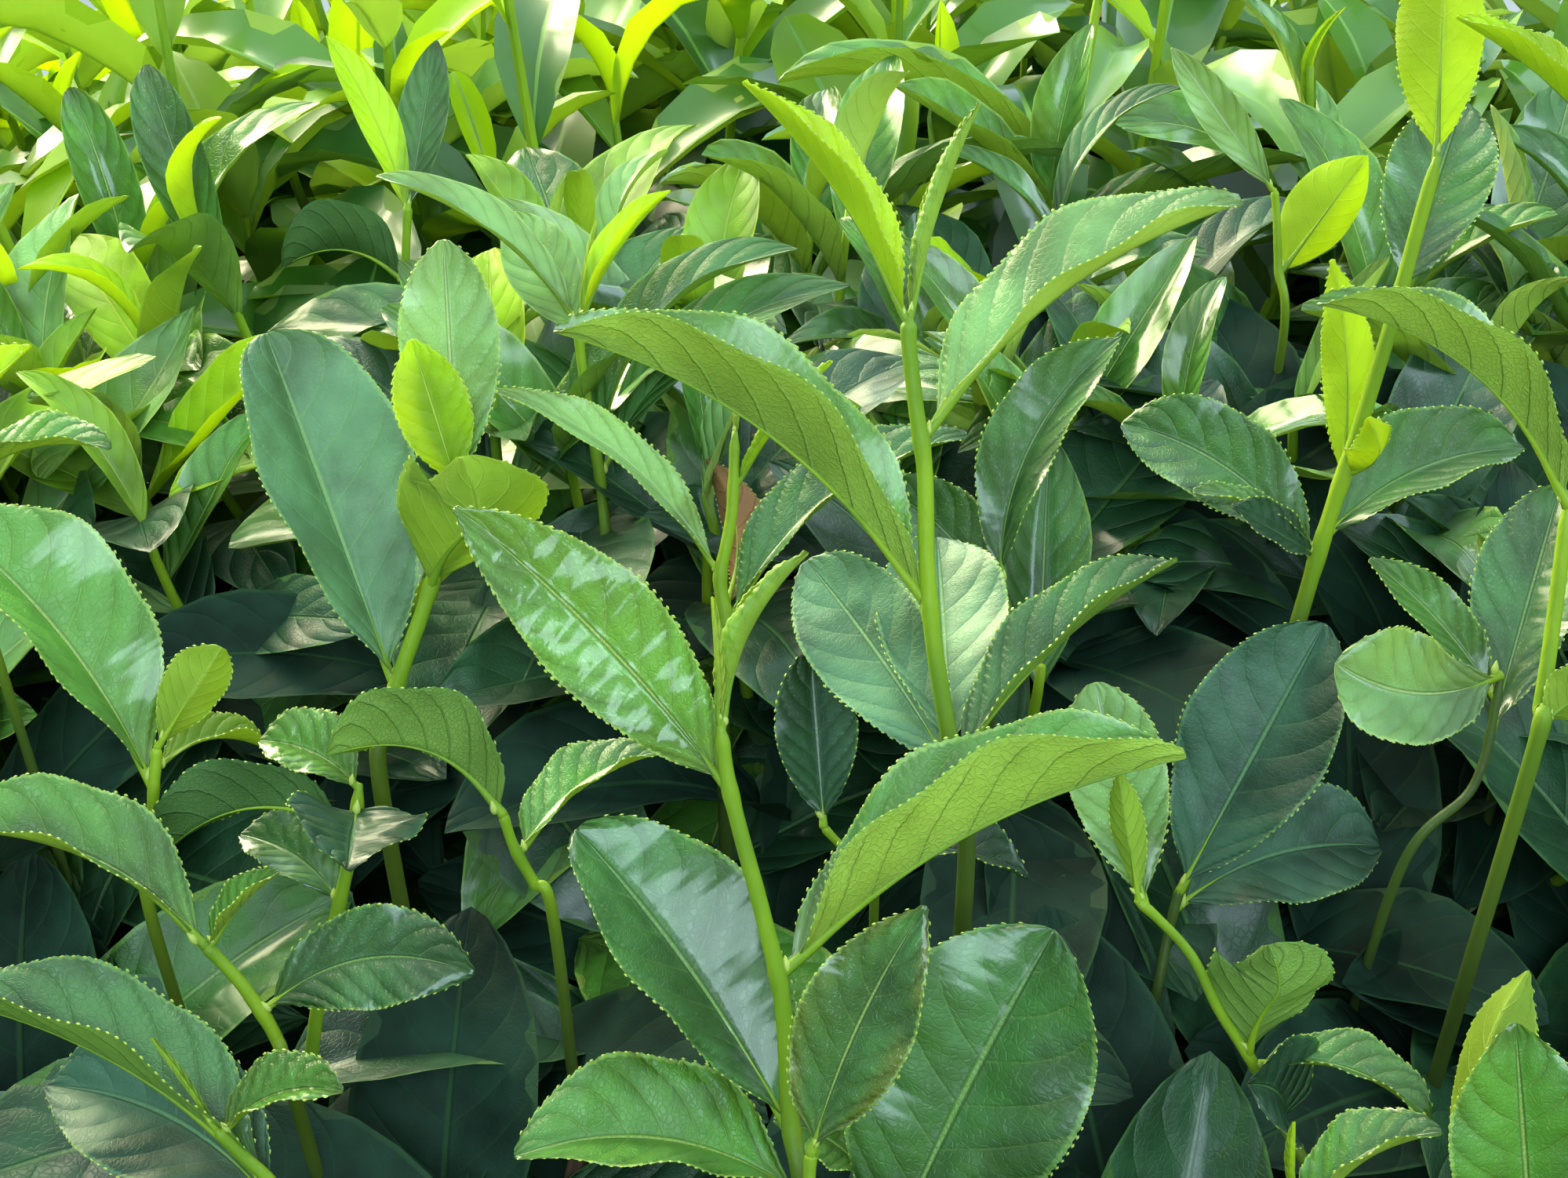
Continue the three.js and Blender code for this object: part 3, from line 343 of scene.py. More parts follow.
@dataclass(frozen=True)
class BladeForm:
    """The grid that a leaf is made on: an upper and a lower sheet that share their rim.

    Attributes:
        rows: Rings between its base and its tip.
        upper: Places across the upper sheet, from -1 at its left rim to 1.
        lower: Places across the lower sheet, from right to left, without the rims.
        rib: Half-width of the strip along the middle that takes the finish of a rib.
        thick: Thickness at the midrib, in millimetres.
        relief: How far the blade bulges between its side veins, as a share of its width.
        teeth: Teeth to a side, 0 for a plain rim.
        tooth: How far a tooth stands out, in millimetres.
        stalk: Share of the leaf's length that is a bare stalk.
        waves: Height of the rim's waves, as a share of the leaf's width.
    """

    rows: int
    upper: tuple[float, ...]
    lower: tuple[float, ...]
    rib: float = 0.0
    thick: float = 0.4
    relief: float = 0.0
    teeth: int = 0
    tooth: float = 0.3
    stalk: float = 0.0
    waves: float = 0.022

    def shares(self) -> Array:
        """Shares of the length at which the rings stand, closer together at both ends."""
        even = (np.arange(self.rows) + 0.6) / (self.rows + 0.2)
        return even if self.teeth else between(even, 0.5 - 0.5 * np.cos(math.pi * even), 0.5)

    def midrib(self, leaf: LeafSet, shares: Array) -> Array:
        """The bowed and hooked middle line of each leaf at shares of its length, (n, r, 3)."""
        length = np.linalg.norm(leaf.tip - leaf.base, axis=1)[:, None]
        control = (leaf.base + leaf.tip) / 2 + 2 * leaf.bow[:, None] * length * leaf.rise
        line = bend(leaf.base, control, leaf.tip, shares)
        turned = leaf.hook[:, None] * length * np.clip((shares - 0.6) / 0.4, 0, 1) ** 2
        return line + turned[..., None] * leaf.rise[:, None]

    def frame(self, leaf: LeafSet, line: Array, shares: Array) -> tuple[Array, Array]:
        """Across and upward directions along the midrib, turned by the leaf's twist."""
        along = unit(np.gradient(line, axis=1))
        upward = unit(leaf.face[:, None] - dot(leaf.face[:, None], along) * along)
        across = np.cross(along, upward)
        angle = np.radians(leaf.twist)[:, None, None] * (shares - 0.3)[None, :, None]
        turned = upward * np.cos(angle) + across * np.sin(angle)
        return np.cross(along, turned), turned

    def rings(self, leaf: LeafSet) -> Tubes:
        """Rings of each leaf: midrib + across x + upward z + relief.

        Each half leaves the midrib at the fold and then curls up round an arc: across it goes
        with sin(curl t) / curl, and up with (1 - cos(curl t)) / curl. The blade bulges between
        side veins that lean forward, its rim waves, and both sheets draw together towards the
        rim as the square root of 1 - t^2.

        Returns:
            The rings, their end points, and their flat map.
        """
        inner = self.shares()
        shares = np.concatenate([[0.0], inner, [1.0]])
        line = self.midrib(leaf, shares)
        across, upward = (part[:, 1:-1] for part in self.frame(leaf, line, shares))
        t = np.array(self.upper + self.lower)
        sheet = np.where(np.arange(len(t)) < len(self.upper), 1.0, -1.0)
        sheet[np.abs(t) >= 1] = 0
        blade = np.clip((inner - self.stalk) / (1 - self.stalk), 0.001, 1)
        half = leaf.wide[:, None] / 2 * width_share(blade[None], leaf.sharp[:, None])
        half = np.maximum(half, 0.25)
        if self.teeth:
            half = half + self.tooth * np.mod(blade * self.teeth, 1.0) * ease(blade, 0.04, 0.12)
        size = np.abs(t)
        curl = np.radians(np.maximum(leaf.curl, 0.5))[:, None, None]
        flatwise = half[..., None] * np.sin(curl * size) / curl
        raised = half[..., None] * (1 - np.cos(curl * size)) / curl
        fold = np.radians(leaf.fold)[:, None, None]
        x = np.sign(t) * (flatwise * np.cos(fold) - raised * np.sin(fold))
        phase = VEIN_PAIRS * (blade[:, None] - VEIN_LEAN * size - VEIN_CURVE * size**3)
        bulge = np.abs(np.sin(math.pi * phase)) * ease(size, 0.02, 0.25) * (1 - size**4)
        bulge = bulge * ease(blade, 0.02, 0.2)[:, None] * ease(1 - blade, 0.02, 0.2)[:, None]
        ripple = np.sin(2 * math.pi * (2.6 * blade[None, :, None] + leaf.wave[:, None, None] + 0.25 * t))
        lift = flatwise * np.sin(fold) + raised * np.cos(fold)
        lift = lift + leaf.wide[:, None, None] * (self.relief * bulge + self.waves * ripple * t**2)
        lift = lift + sheet * self.thick / 2 * np.sqrt(np.clip(1 - t**2, 0.05, 1))
        rings = (
            line[:, 1:-1, None]
            + across[:, :, None] * x[..., None]
            + upward[:, :, None] * lift[..., None]
        )
        flat = np.stack(np.meshgrid((t + 1) / 2, inner), axis=-1)
        return rings, (line[:, 0], line[:, -1]), flat

    def sides(self) -> Array:
        """Which finish each side of a ring takes: 0 the upper face, 1 the underside, 2 the rib."""
        t = np.array(self.upper + self.lower)
        after = np.roll(t, -1)
        upper = np.arange(len(t)) < len(self.upper) - 1
        middle = (np.abs(t) <= self.rib + 1e-6) & (np.abs(after) <= self.rib + 1e-6) & (self.rib > 0)
        return np.where(middle, 2, np.where(upper, 0, 1))


# Materials


class Value:
    """A number that changes over a surface: operators on it add Math nodes."""

    def __init__(self, shader: "Shader", socket: Any) -> None:
        """Wraps a socket of a shader."""
        self.shader = shader
        self.socket = socket

    def _math(self, operation: str, *others: Any, swapped: bool = False) -> "Value":
        """Adds a Math node on this value and others, in their own order unless swapped."""
        terms = [self, *others]
        if swapped:
            terms.reverse()
        node = self.shader.node("ShaderNodeMath", {"operation": operation}, dict(enumerate(terms)))
        return Value(self.shader, node.outputs[0])

    def __add__(self, other: Any) -> "Value":
        """This plus other."""
        return self._math("ADD", other)

    def __sub__(self, other: Any) -> "Value":
        """This minus other."""
        return self._math("SUBTRACT", other)

    def __rsub__(self, other: Any) -> "Value":
        """Other minus this."""
        return self._math("SUBTRACT", other, swapped=True)

    def __mul__(self, other: Any) -> "Value":
        """This times other."""
        return self._math("MULTIPLY", other)

    def __pow__(self, other: Any) -> "Value":
        """This to the power of other."""
        return self._math("POWER", other)

    def __abs__(self) -> "Value":
        """This without its sign."""
        return self._math("ABSOLUTE")

    __radd__ = __add__

    def part(self) -> "Value":
        """What is left after the whole number."""
        return self._math("FRACT")

    def ramp(self, low: float, high: float) -> "Value":
        """Smooth step from 0 at low to 1 at high."""
        settings = {"interpolation_type": "SMOOTHSTEP"}
        inputs = {"Value": self, "From Min": low, "From Max": high, "To Min": 0.0, "To Max": 1.0}
        return Value(self.shader, self.shader.node("ShaderNodeMapRange", settings, inputs).outputs[0])


def linear(colour: Colour) -> tuple[float, float, float, float]:
    """A colour of three numbers to 255, as a screen shows it, in linear light."""
    light = [((c / 255 + 0.055) / 1.055) ** 2.4 if c > 10 else c / 255 / 12.92 for c in colour]
    return (light[0], light[1], light[2], 1.0)


def shifted(colour: Colour, factor: float, more: int = 0) -> Colour:
    """A lighter or darker colour: each number times factor, and more added."""
    return tuple(min(255, int(c * factor + more)) for c in colour)


class Shader:
    """A material and its nodes."""

    def __init__(self, name: str) -> None:
        """Makes the material with nothing but its output."""
        self.material = bpy.data.materials.new(name)
        self.material.use_nodes = True
        self.tree = self.material.node_tree
        self.tree.nodes.clear()
        self.output = self.node("ShaderNodeOutputMaterial")

    def node(self, kind: str, settings: dict[str, Any] | None = None, inputs: dict | None = None) -> Any:
        """Adds a node.

        Args:
            kind: Its type.
            settings: Its own properties, set first.
            inputs: Values or links of its sockets, by name or number.

        Returns:
            The node.
        """
        node = self.tree.nodes.new(kind)
        for name, setting in (settings or {}).items():
            setattr(node, name, setting)
        for name, given in (inputs or {}).items():
            socket = node.inputs[name]
            source = given.socket if isinstance(given, Value) else given
            if isinstance(source, bpy.types.NodeSocket):
                self.tree.links.new(source, socket)
            else:
                socket.default_value = source
        return node

    def flat(self) -> tuple[Value, Value]:
        """Place on the piece's own flat map: across from 0 to 1, and along from 0 to 1."""
        place = self.node("ShaderNodeUVMap", {"uv_map": "flat"}).outputs[0]
        apart = self.node("ShaderNodeSeparateXYZ", inputs={0: place})
        return Value(self, apart.outputs[0]), Value(self, apart.outputs[1])

    def object_place(self, drawn: float = 1.0) -> Any:
        """Object coordinates, with their height scaled by drawn."""
        scale = (1.0, 1.0, drawn)
        place = self.node("ShaderNodeTexCoord").outputs["Object"]
        return self.node("ShaderNodeMapping", inputs={"Vector": place, "Scale": scale}).outputs[0]

    def noise(self, place: Any, scale: float, detail: float = 3.0, rough: float = 0.55) -> Value:
        """Noise from 0 to 1 at a place."""
        inputs = {"Vector": place, "Scale": scale, "Detail": detail, "Roughness": rough}
        return Value(self, self.node("ShaderNodeTexNoise", inputs=inputs).outputs[0])

    def cells(self, place: Any, scale: float) -> Value:
        """Distance from the edges of Voronoi cells at a place."""
        settings, inputs = {"feature": "DISTANCE_TO_EDGE"}, {"Vector": place, "Scale": scale}
        return Value(self, self.node("ShaderNodeTexVoronoi", settings, inputs).outputs["Distance"])

    def mix(self, share: Any, low: Any, high: Any) -> Any:
        """Blends two colours, each one given to 255 or a link."""
        low, high = (linear(c) if isinstance(c, tuple) else c for c in (low, high))
        node = self.node("ShaderNodeMix", {"data_type": "RGBA"}, {0: share, 6: low, 7: high})
        return node.outputs[2]

    def bump(self, height: Value, depth: float, strength: float = 1.0) -> Any:
        """Normal of a relief: height from 0 to 1 over depth in millimetres."""
        inputs = {"Height": height, "Distance": depth * METRES, "Strength": strength}
        return self.node("ShaderNodeBump", inputs=inputs).outputs[0]

    def surface(self, inputs: dict, glow: Colour | None = None, share: float = 0.0) -> Any:
        """Closes the material with a Principled surface that may let light through.

        Args:
            inputs: Sockets of the Principled surface.
            glow: Colour of the light that comes through, if any does.
            share: How much of the surface lets light through.

        Returns:
            The material.
        """
        face = self.node("ShaderNodeBsdfPrincipled", inputs=inputs).outputs[0]
        if glow is not None:
            through = self.node("ShaderNodeBsdfTranslucent", inputs={"Color": linear(glow)}).outputs[0]
            face = self.node("ShaderNodeMixShader", inputs={0: share, 1: face, 2: through}).outputs[0]
        self.tree.links.new(face, self.output.inputs["Surface"])
        return self.material


@dataclass(frozen=True)
class LeafFinish:
    """How leaves of one tone look.

    Attributes:
        tone: The tone.
        upper: Colour of the upper face.
        under: Colour of the underside.
        vein: Colour of the midrib and of the rim's teeth.
        glow: Colour of the light that comes through.
        through: Share of light that comes through.
        rough: Roughness.
        coat: Weight of the waxy coat.
        quilt: Depth of the relief between veins, in millimetres.
        haze: Roughness of the coat.
        gloss: Specular level under the coat.
        blush: Colour that comes up towards the rim, if any.
    """

    tone: Tone
    upper: Colour
    under: Colour
    vein: Colour
    glow: Colour
    through: float
    rough: float
    coat: float
    quilt: float
    haze: float = 0.3
    gloss: float = 0.5
    blush: Colour | None = None

    @property
    def name(self) -> str:
        """Start of its materials' names."""
        return "leaf_" + self.tone.name.lower()

    def plain(self, part: str) -> bpy.types.Material:
        """A finish of one colour for the crown's small leaves: part is "upper" or "under"."""
        shader = Shader(f"crown_{self.name}_{part}")
        inputs = {"Base Color": linear(self.under), "Roughness": 0.6, "Specular IOR Level": self.gloss}
        if part == "upper":
            inputs |= {"Base Color": linear(self.upper), "Roughness": self.rough}
            inputs |= {"Coat Weight": self.coat, "Coat Roughness": self.haze}
        return shader.surface(inputs, self.glow, self.through + 0.12)

    def veins(self, shader: Shader) -> tuple[Value, Value, Value, Value, Value]:
        """Masks of a leaf on its flat map.

        Side veins lean forward from the midrib and curve along the rim, so each is a line of
        equal along - lean size - curve size^3, where size is the distance from the midrib.

        Returns:
            Distance from the midrib, place along, and masks of the side veins, of the swelling
            between them and of the fine net.
        """
        across, along = shader.flat()
        size = abs(across * 2 - 1)
        phase = (along - size * VEIN_LEAN - size**3 * VEIN_CURVE) * VEIN_PAIRS
        apart = abs(phase.part() - 0.5) * 2
        vein = (1 - (1 - apart).ramp(0.0, 0.13)) * (1 - size.ramp(0.8, 0.96)) * along.ramp(0.02, 0.1)
        swell = (1 - apart * apart) * size.ramp(0.03, 0.3)
        place = shader.node("ShaderNodeUVMap", {"uv_map": "flat"}).outputs[0]
        stretched = shader.node("ShaderNodeMapping", inputs={"Vector": place, "Scale": (11.0, 26.0, 1.0)})
        net = 1 - shader.cells(stretched.outputs[0], 2.1).ramp(0.0, 0.12)
        return size, along, vein, swell, net

    def upper_face(self) -> bpy.types.Material:
        """The upper face: quilted between its side veins, waxy, with a pale midrib and rim."""
        shader = Shader(f"{self.name}_upper")
        size, along, vein, swell, net = self.veins(shader)
        place = shader.object_place()
        cloud = shader.noise(place, 70.0, 3.0)
        colour = shader.mix(cloud.ramp(0.3, 0.7), shifted(self.upper, 0.8), shifted(self.upper, 1.22, 6))
        if self.blush:
            colour = shader.mix(size.ramp(0.45, 1.0) * cloud.ramp(0.35, 0.6) * 0.8, colour, self.blush)
        middle, rim = 1 - size.ramp(0.012, 0.05), size.ramp(0.93, 0.97)
        foot, fade = 1 - along.ramp(0.0, 0.22), 1 - along.ramp(0.5, 1.0) * 0.5
        for share in (net * 0.07 + vein * 0.26, foot * 0.5, middle * fade, rim * 0.75):
            colour = shader.mix(share, colour, self.vein)
        pucker = shader.noise(place, 190.0, 1.0)
        height = swell * 0.6 + pucker * 0.9 - net * 0.06 - vein * 0.1 - middle * 0.5
        fine = shader.noise(place, 1500.0, 2.0)
        normal = shader.bump(height + fine * 0.04, self.quilt)
        rough = self.rough + cloud * 0.1 + net * 0.05
        inputs = {"Base Color": colour, "Roughness": rough, "Normal": normal}
        inputs |= {"Coat Weight": self.coat, "Coat Roughness": self.haze, "Specular IOR Level": self.gloss}
        return shader.surface(inputs, self.glow, self.through)

    def under_face(self) -> bpy.types.Material:
        """The underside: paler and duller, with raised veins and a clear net."""
        shader = Shader(f"{self.name}_under")
        size, along, vein, swell, net = self.veins(shader)
        place = shader.object_place()
        cloud = shader.noise(place, 60.0, 3.0)
        colour = shader.mix(cloud.ramp(0.3, 0.7), shifted(self.under, 0.88), shifted(self.under, 1.12, 4))
        middle, rim = 1 - size.ramp(0.02, 0.07), size.ramp(0.93, 0.97)
        for share in (net * 0.16 + vein * 0.45, middle * 0.8, rim * 0.6):
            colour = shader.mix(share, colour, self.vein)
        height = net * 0.16 + vein * 0.5 - swell * 0.4
        inputs = {"Base Color": colour, "Roughness": 0.55 + cloud * 0.1, "Specular IOR Level": 0.3}
        inputs["Normal"] = shader.bump(height, self.quilt * 0.45)
        return shader.surface(inputs, self.glow, self.through + 0.06)


@dataclass(frozen=True)
class StemFinish:
    """A green stem: fine ridges along it, blotches of a second green, and a darker foot that is partly older
    wood and partly painted shade.

    Attributes:
        name: Name of the material.
        young: Its colour.
        old: Colour of its blotches.
        foot: Colour of its foot, if any: partly older wood, partly painted shade.
    """

    name: str
    young: Colour = (144, 176, 36)
    old: Colour = (104, 142, 34)
    foot: Colour | None = None

    def material(self) -> bpy.types.Material:
        """Makes the finish."""
        shader = Shader(self.name)
        blotch = shader.noise(shader.object_place(0.3), 90.0)
        ridge = shader.noise(shader.object_place(0.06), 1400.0, 2.0)
        colour = shader.mix(blotch.ramp(0.35, 0.7), self.young, self.old)
        # The darker foot: partly older wood, partly painted shade where the stem sinks into the foliage.
        if self.foot:
            colour = shader.mix(1 - shader.flat()[1].ramp(0.1, 0.42), colour, self.foot)
        normal = shader.bump(ridge, 0.25, 0.6)
        inputs = {"Base Color": colour, "Roughness": 0.42 + ridge * 0.12, "Normal": normal}
        inputs["Specular IOR Level"] = 0.35
        return shader.surface(inputs, (214, 240, 84), 0.16)


@dataclass(frozen=True)
class WoodFinish:
    """Bark of trunk, boughs or twigs: fissures along it, scales, and patches of lichen.

    Attributes:
        name: Name of the material.
        ground: Colour of the bark.
        deep: Colour in the fissures.
        patch: Colour of the lichen or of the young wood's flecks.
        cover: How much of it the patches cover.
        fissures: Fissures to a metre round it.
        depth: Depth of the relief, in millimetres.
    """

    name: str
    ground: Colour
    deep: Colour
    patch: Colour
    cover: float
    fissures: float
    depth: float

    def material(self) -> bpy.types.Material:
        """Makes the finish."""
        shader = Shader(self.name)
        drawn = shader.object_place(0.28)
        crack = shader.cells(drawn, self.fissures).ramp(0.0, 0.3)
        grain = shader.noise(drawn, self.fissures * 3.0, 6.0, 0.65)
        patches = shader.noise(shader.object_place(), 28.0, 5.0, 0.6)
        lichen = patches.ramp(0.72 - self.cover, 0.8 - self.cover)
        colour = shader.mix(crack * 0.7 + grain * 0.4, self.deep, self.ground)
        colour = shader.mix(lichen * grain.ramp(0.3, 0.6) * 0.75, colour, self.patch)
        normal = shader.bump(crack * 0.6 + grain * 0.5 + lichen * 0.1, self.depth)
        return shader.surface({"Base Color": colour, "Roughness": 0.85 + grain * 0.1, "Normal": normal})


# The crown and the point of sight


@dataclass(frozen=True)
class Crown:
    """The bush's round outline, in millimetres, as in the part's source.

    A lift of 0 is its top, a quarter turn its widest ring, and lowest its skirt.
    """

    half_wide: float = 500
    half_deep: float = 450
    top: float = 640
    middle: float = 400
    skirt: float = 195
    heart: float = 330
    spread: float = 0.88
    rounding: float = 0.72
    lowest: float = math.radians(128)
    sectors: int = 8
    centre_share: float = 0.42

    def point(self, lift: Any, turn: Any, size: Any = 1.0) -> Array:
        """Place on the crown shrunk towards its heart by size.

        The width goes with sin(lift)^0.88. The height goes with cos(lift)^0.72 above the widest
        ring and straight with cos(lift) below it.

        Args:
            lift: Angle down from the top.
            turn: Angle round the trunk.
            size: 1 for the crown itself.

        Returns:
            Places, (..., 3).
        """
        lift, turn, size = np.broadcast_arrays(lift, turn, size)
        reach = np.sin(lift) ** self.spread
        slope = np.cos(lift)
        above = self.middle + (self.top - self.middle) * np.clip(slope, 0, 1) ** self.rounding
        below = self.middle + (self.skirt - self.middle) * slope / math.cos(self.lowest)
        rim = np.stack(
            [
                reach * self.half_wide * np.cos(turn),
                reach * self.half_deep * np.sin(turn),
                np.where(slope >= 0, above, below),
            ],
            axis=-1,
        )
        heart = np.array([0.0, 0.0, self.heart])
        return heart + (rim - heart) * size[..., None]

    def normal(self, lift: Array, turn: Array) -> Array:
        """Outward direction, square to the crown."""
        step = 0.01
        downwards = self.point(lift + step, turn) - self.point(lift - step, turn)
        around = self.point(lift, turn + step) - self.point(lift, turn - step)
        return unit(np.cross(downwards, around))

    def lattice(self, count: int, first: float = 0.5) -> tuple[Array, Array]:
        """Places spread evenly over the crown, a golden turn apart.

        Args:
            count: How many.
            first: Share of a step at which the first stands.

        Returns:
            Their lifts and turns.
        """
        lifts = np.linspace(0, self.lowest, 241)
        outline = self.point(lifts, 0.0)
        run = np.linalg.norm(np.diff(outline, axis=0), axis=1) * (outline[1:, 0] + outline[:-1, 0])
        area = np.concatenate([[0.0], np.cumsum(run)])
        index = np.arange(count)
        lift = np.interp((index + first) / count * area[-1], area, lifts)
        return lift, (index + first - 0.5) * GOLDEN_TURN

    def sector(self, points: Array) -> Array:
        """Number of the mass that holds each place: -1 for the centre one, then 0 to 7."""
        x, y = points[..., 0] / self.half_wide, points[..., 1] / self.half_deep
        turns = (np.arctan2(y, x) + math.pi / 2) / (2 * math.pi)
        number = np.round((turns - np.floor(turns)) * self.sectors).astype(int) % self.sectors
        return np.where(np.hypot(x, y) < self.centre_share, -1, number)

    def core_top(self, x: float, y: float) -> float:
        """Height over a place in plan of the source's cores."""
        share = min(1.0, math.hypot(x / self.half_wide, y / self.half_deep) / 0.9)
        return float(self.point(math.asin(share ** (1 / self.spread)), 0.0, 0.9)[2])


@dataclass(frozen=True)
class Sight:
    """The point above the front of the bush from which the listed shoots were read.

    Places on its sheet are millimetres across and down, and a depth is how far a place lies
    from it along the line of sight. At a depth of reach, the sheet is wide by high, and its
    middle is the place straight ahead.
    """

    eye: tuple[float, float, float] = (0.0, -468.0, 808.0)
    tilt: float = math.radians(30)
    reach: float = 275
    wide: float = 200
    high: float = 150
    middle: Place = (99.95, 75.1)

    @property
    def axis(self) -> Array:
        """Direction of the line of sight."""
        return np.array([0.0, math.cos(self.tilt), -math.sin(self.tilt)])

    @property
    def upright(self) -> Array:
        """Direction up the sheet."""
        return np.array([0.0, math.sin(self.tilt), math.cos(self.tilt)])

    def point(self, place: Place, depth: float) -> Array:
        """Where a place on the sheet lies at a depth."""
        across = (place[0] - self.middle[0]) / self.reach
        up = (self.middle[1] - place[1]) / self.reach
        right = np.array([1.0, 0.0, 0.0])
        return np.array(self.eye) + depth * (self.axis + across * right + up * self.upright)

    def sheet(self, points: Array) -> tuple[Array, Array, Array]:
        """Places on the sheet and depths of points: across, down and depth."""
        off = points - np.array(self.eye)
        depth = off @ self.axis
        scale = self.reach / np.where(np.abs(depth) < 1, 1.0, depth)
        return self.middle[0] + off[..., 0] * scale, self.middle[1] - (off @ self.upright) * scale, depth

    def view(self, points: Array, margin: float) -> tuple[Array, Array, Array]:
        """Whether points lie in view or less than a margin off it, their places down, and depths."""
        across, down, depth = self.sheet(points)
        seen = (across > -margin) & (across < self.wide + margin)
        seen &= (down > -margin) & (down < self.high + margin)
        return seen & (depth > 0), down, depth


@dataclass(frozen=True)
class Leaf:
    """A listed leaf: places on the sheet, sizes in millimetres, angles in degrees.

    Attributes:
        root: Where it leaves its stem.
        tip: Where its tip is.
        near: How much nearer its tip is than its root.
        wide: Its width.
        roll: 0 shows its upper face, 180 its underside.
        fold: Angle of its two halves.
        tone: Its look.
        bow: Bow of its midrib, as a share of its length.
        hook: How far its tip turns up, as a share of its length.
        sharp: Under 0.85 for a blunter tip, over it for a finer one.
    """

    root: Place
    tip: Place
    near: float
    wide: float
    roll: float
    fold: float
    tone: Tone
    bow: float = 0.0
    hook: float = 0.0
    sharp: float = 0.85


@dataclass(frozen=True)
class Shoot:
    """A listed shoot.

    Attributes:
        name: Its name, after shoot_ in the model.
        depth: Depth of its stem's foot and tip.
        girth: Diameter of its stem there.
        stem: Places of its stem on the sheet, from below.
        leaves: Its leaves.
        worn: Numbers of the leaves whose axil buds are brown.
        bare: Whether its stem has to stay in view.
    """

    name: str
    depth: Place
    girth: Place
    stem: tuple[Place, ...]
    leaves: tuple[Leaf, ...]
    worn: tuple[int, ...] = ()
    bare: bool = True


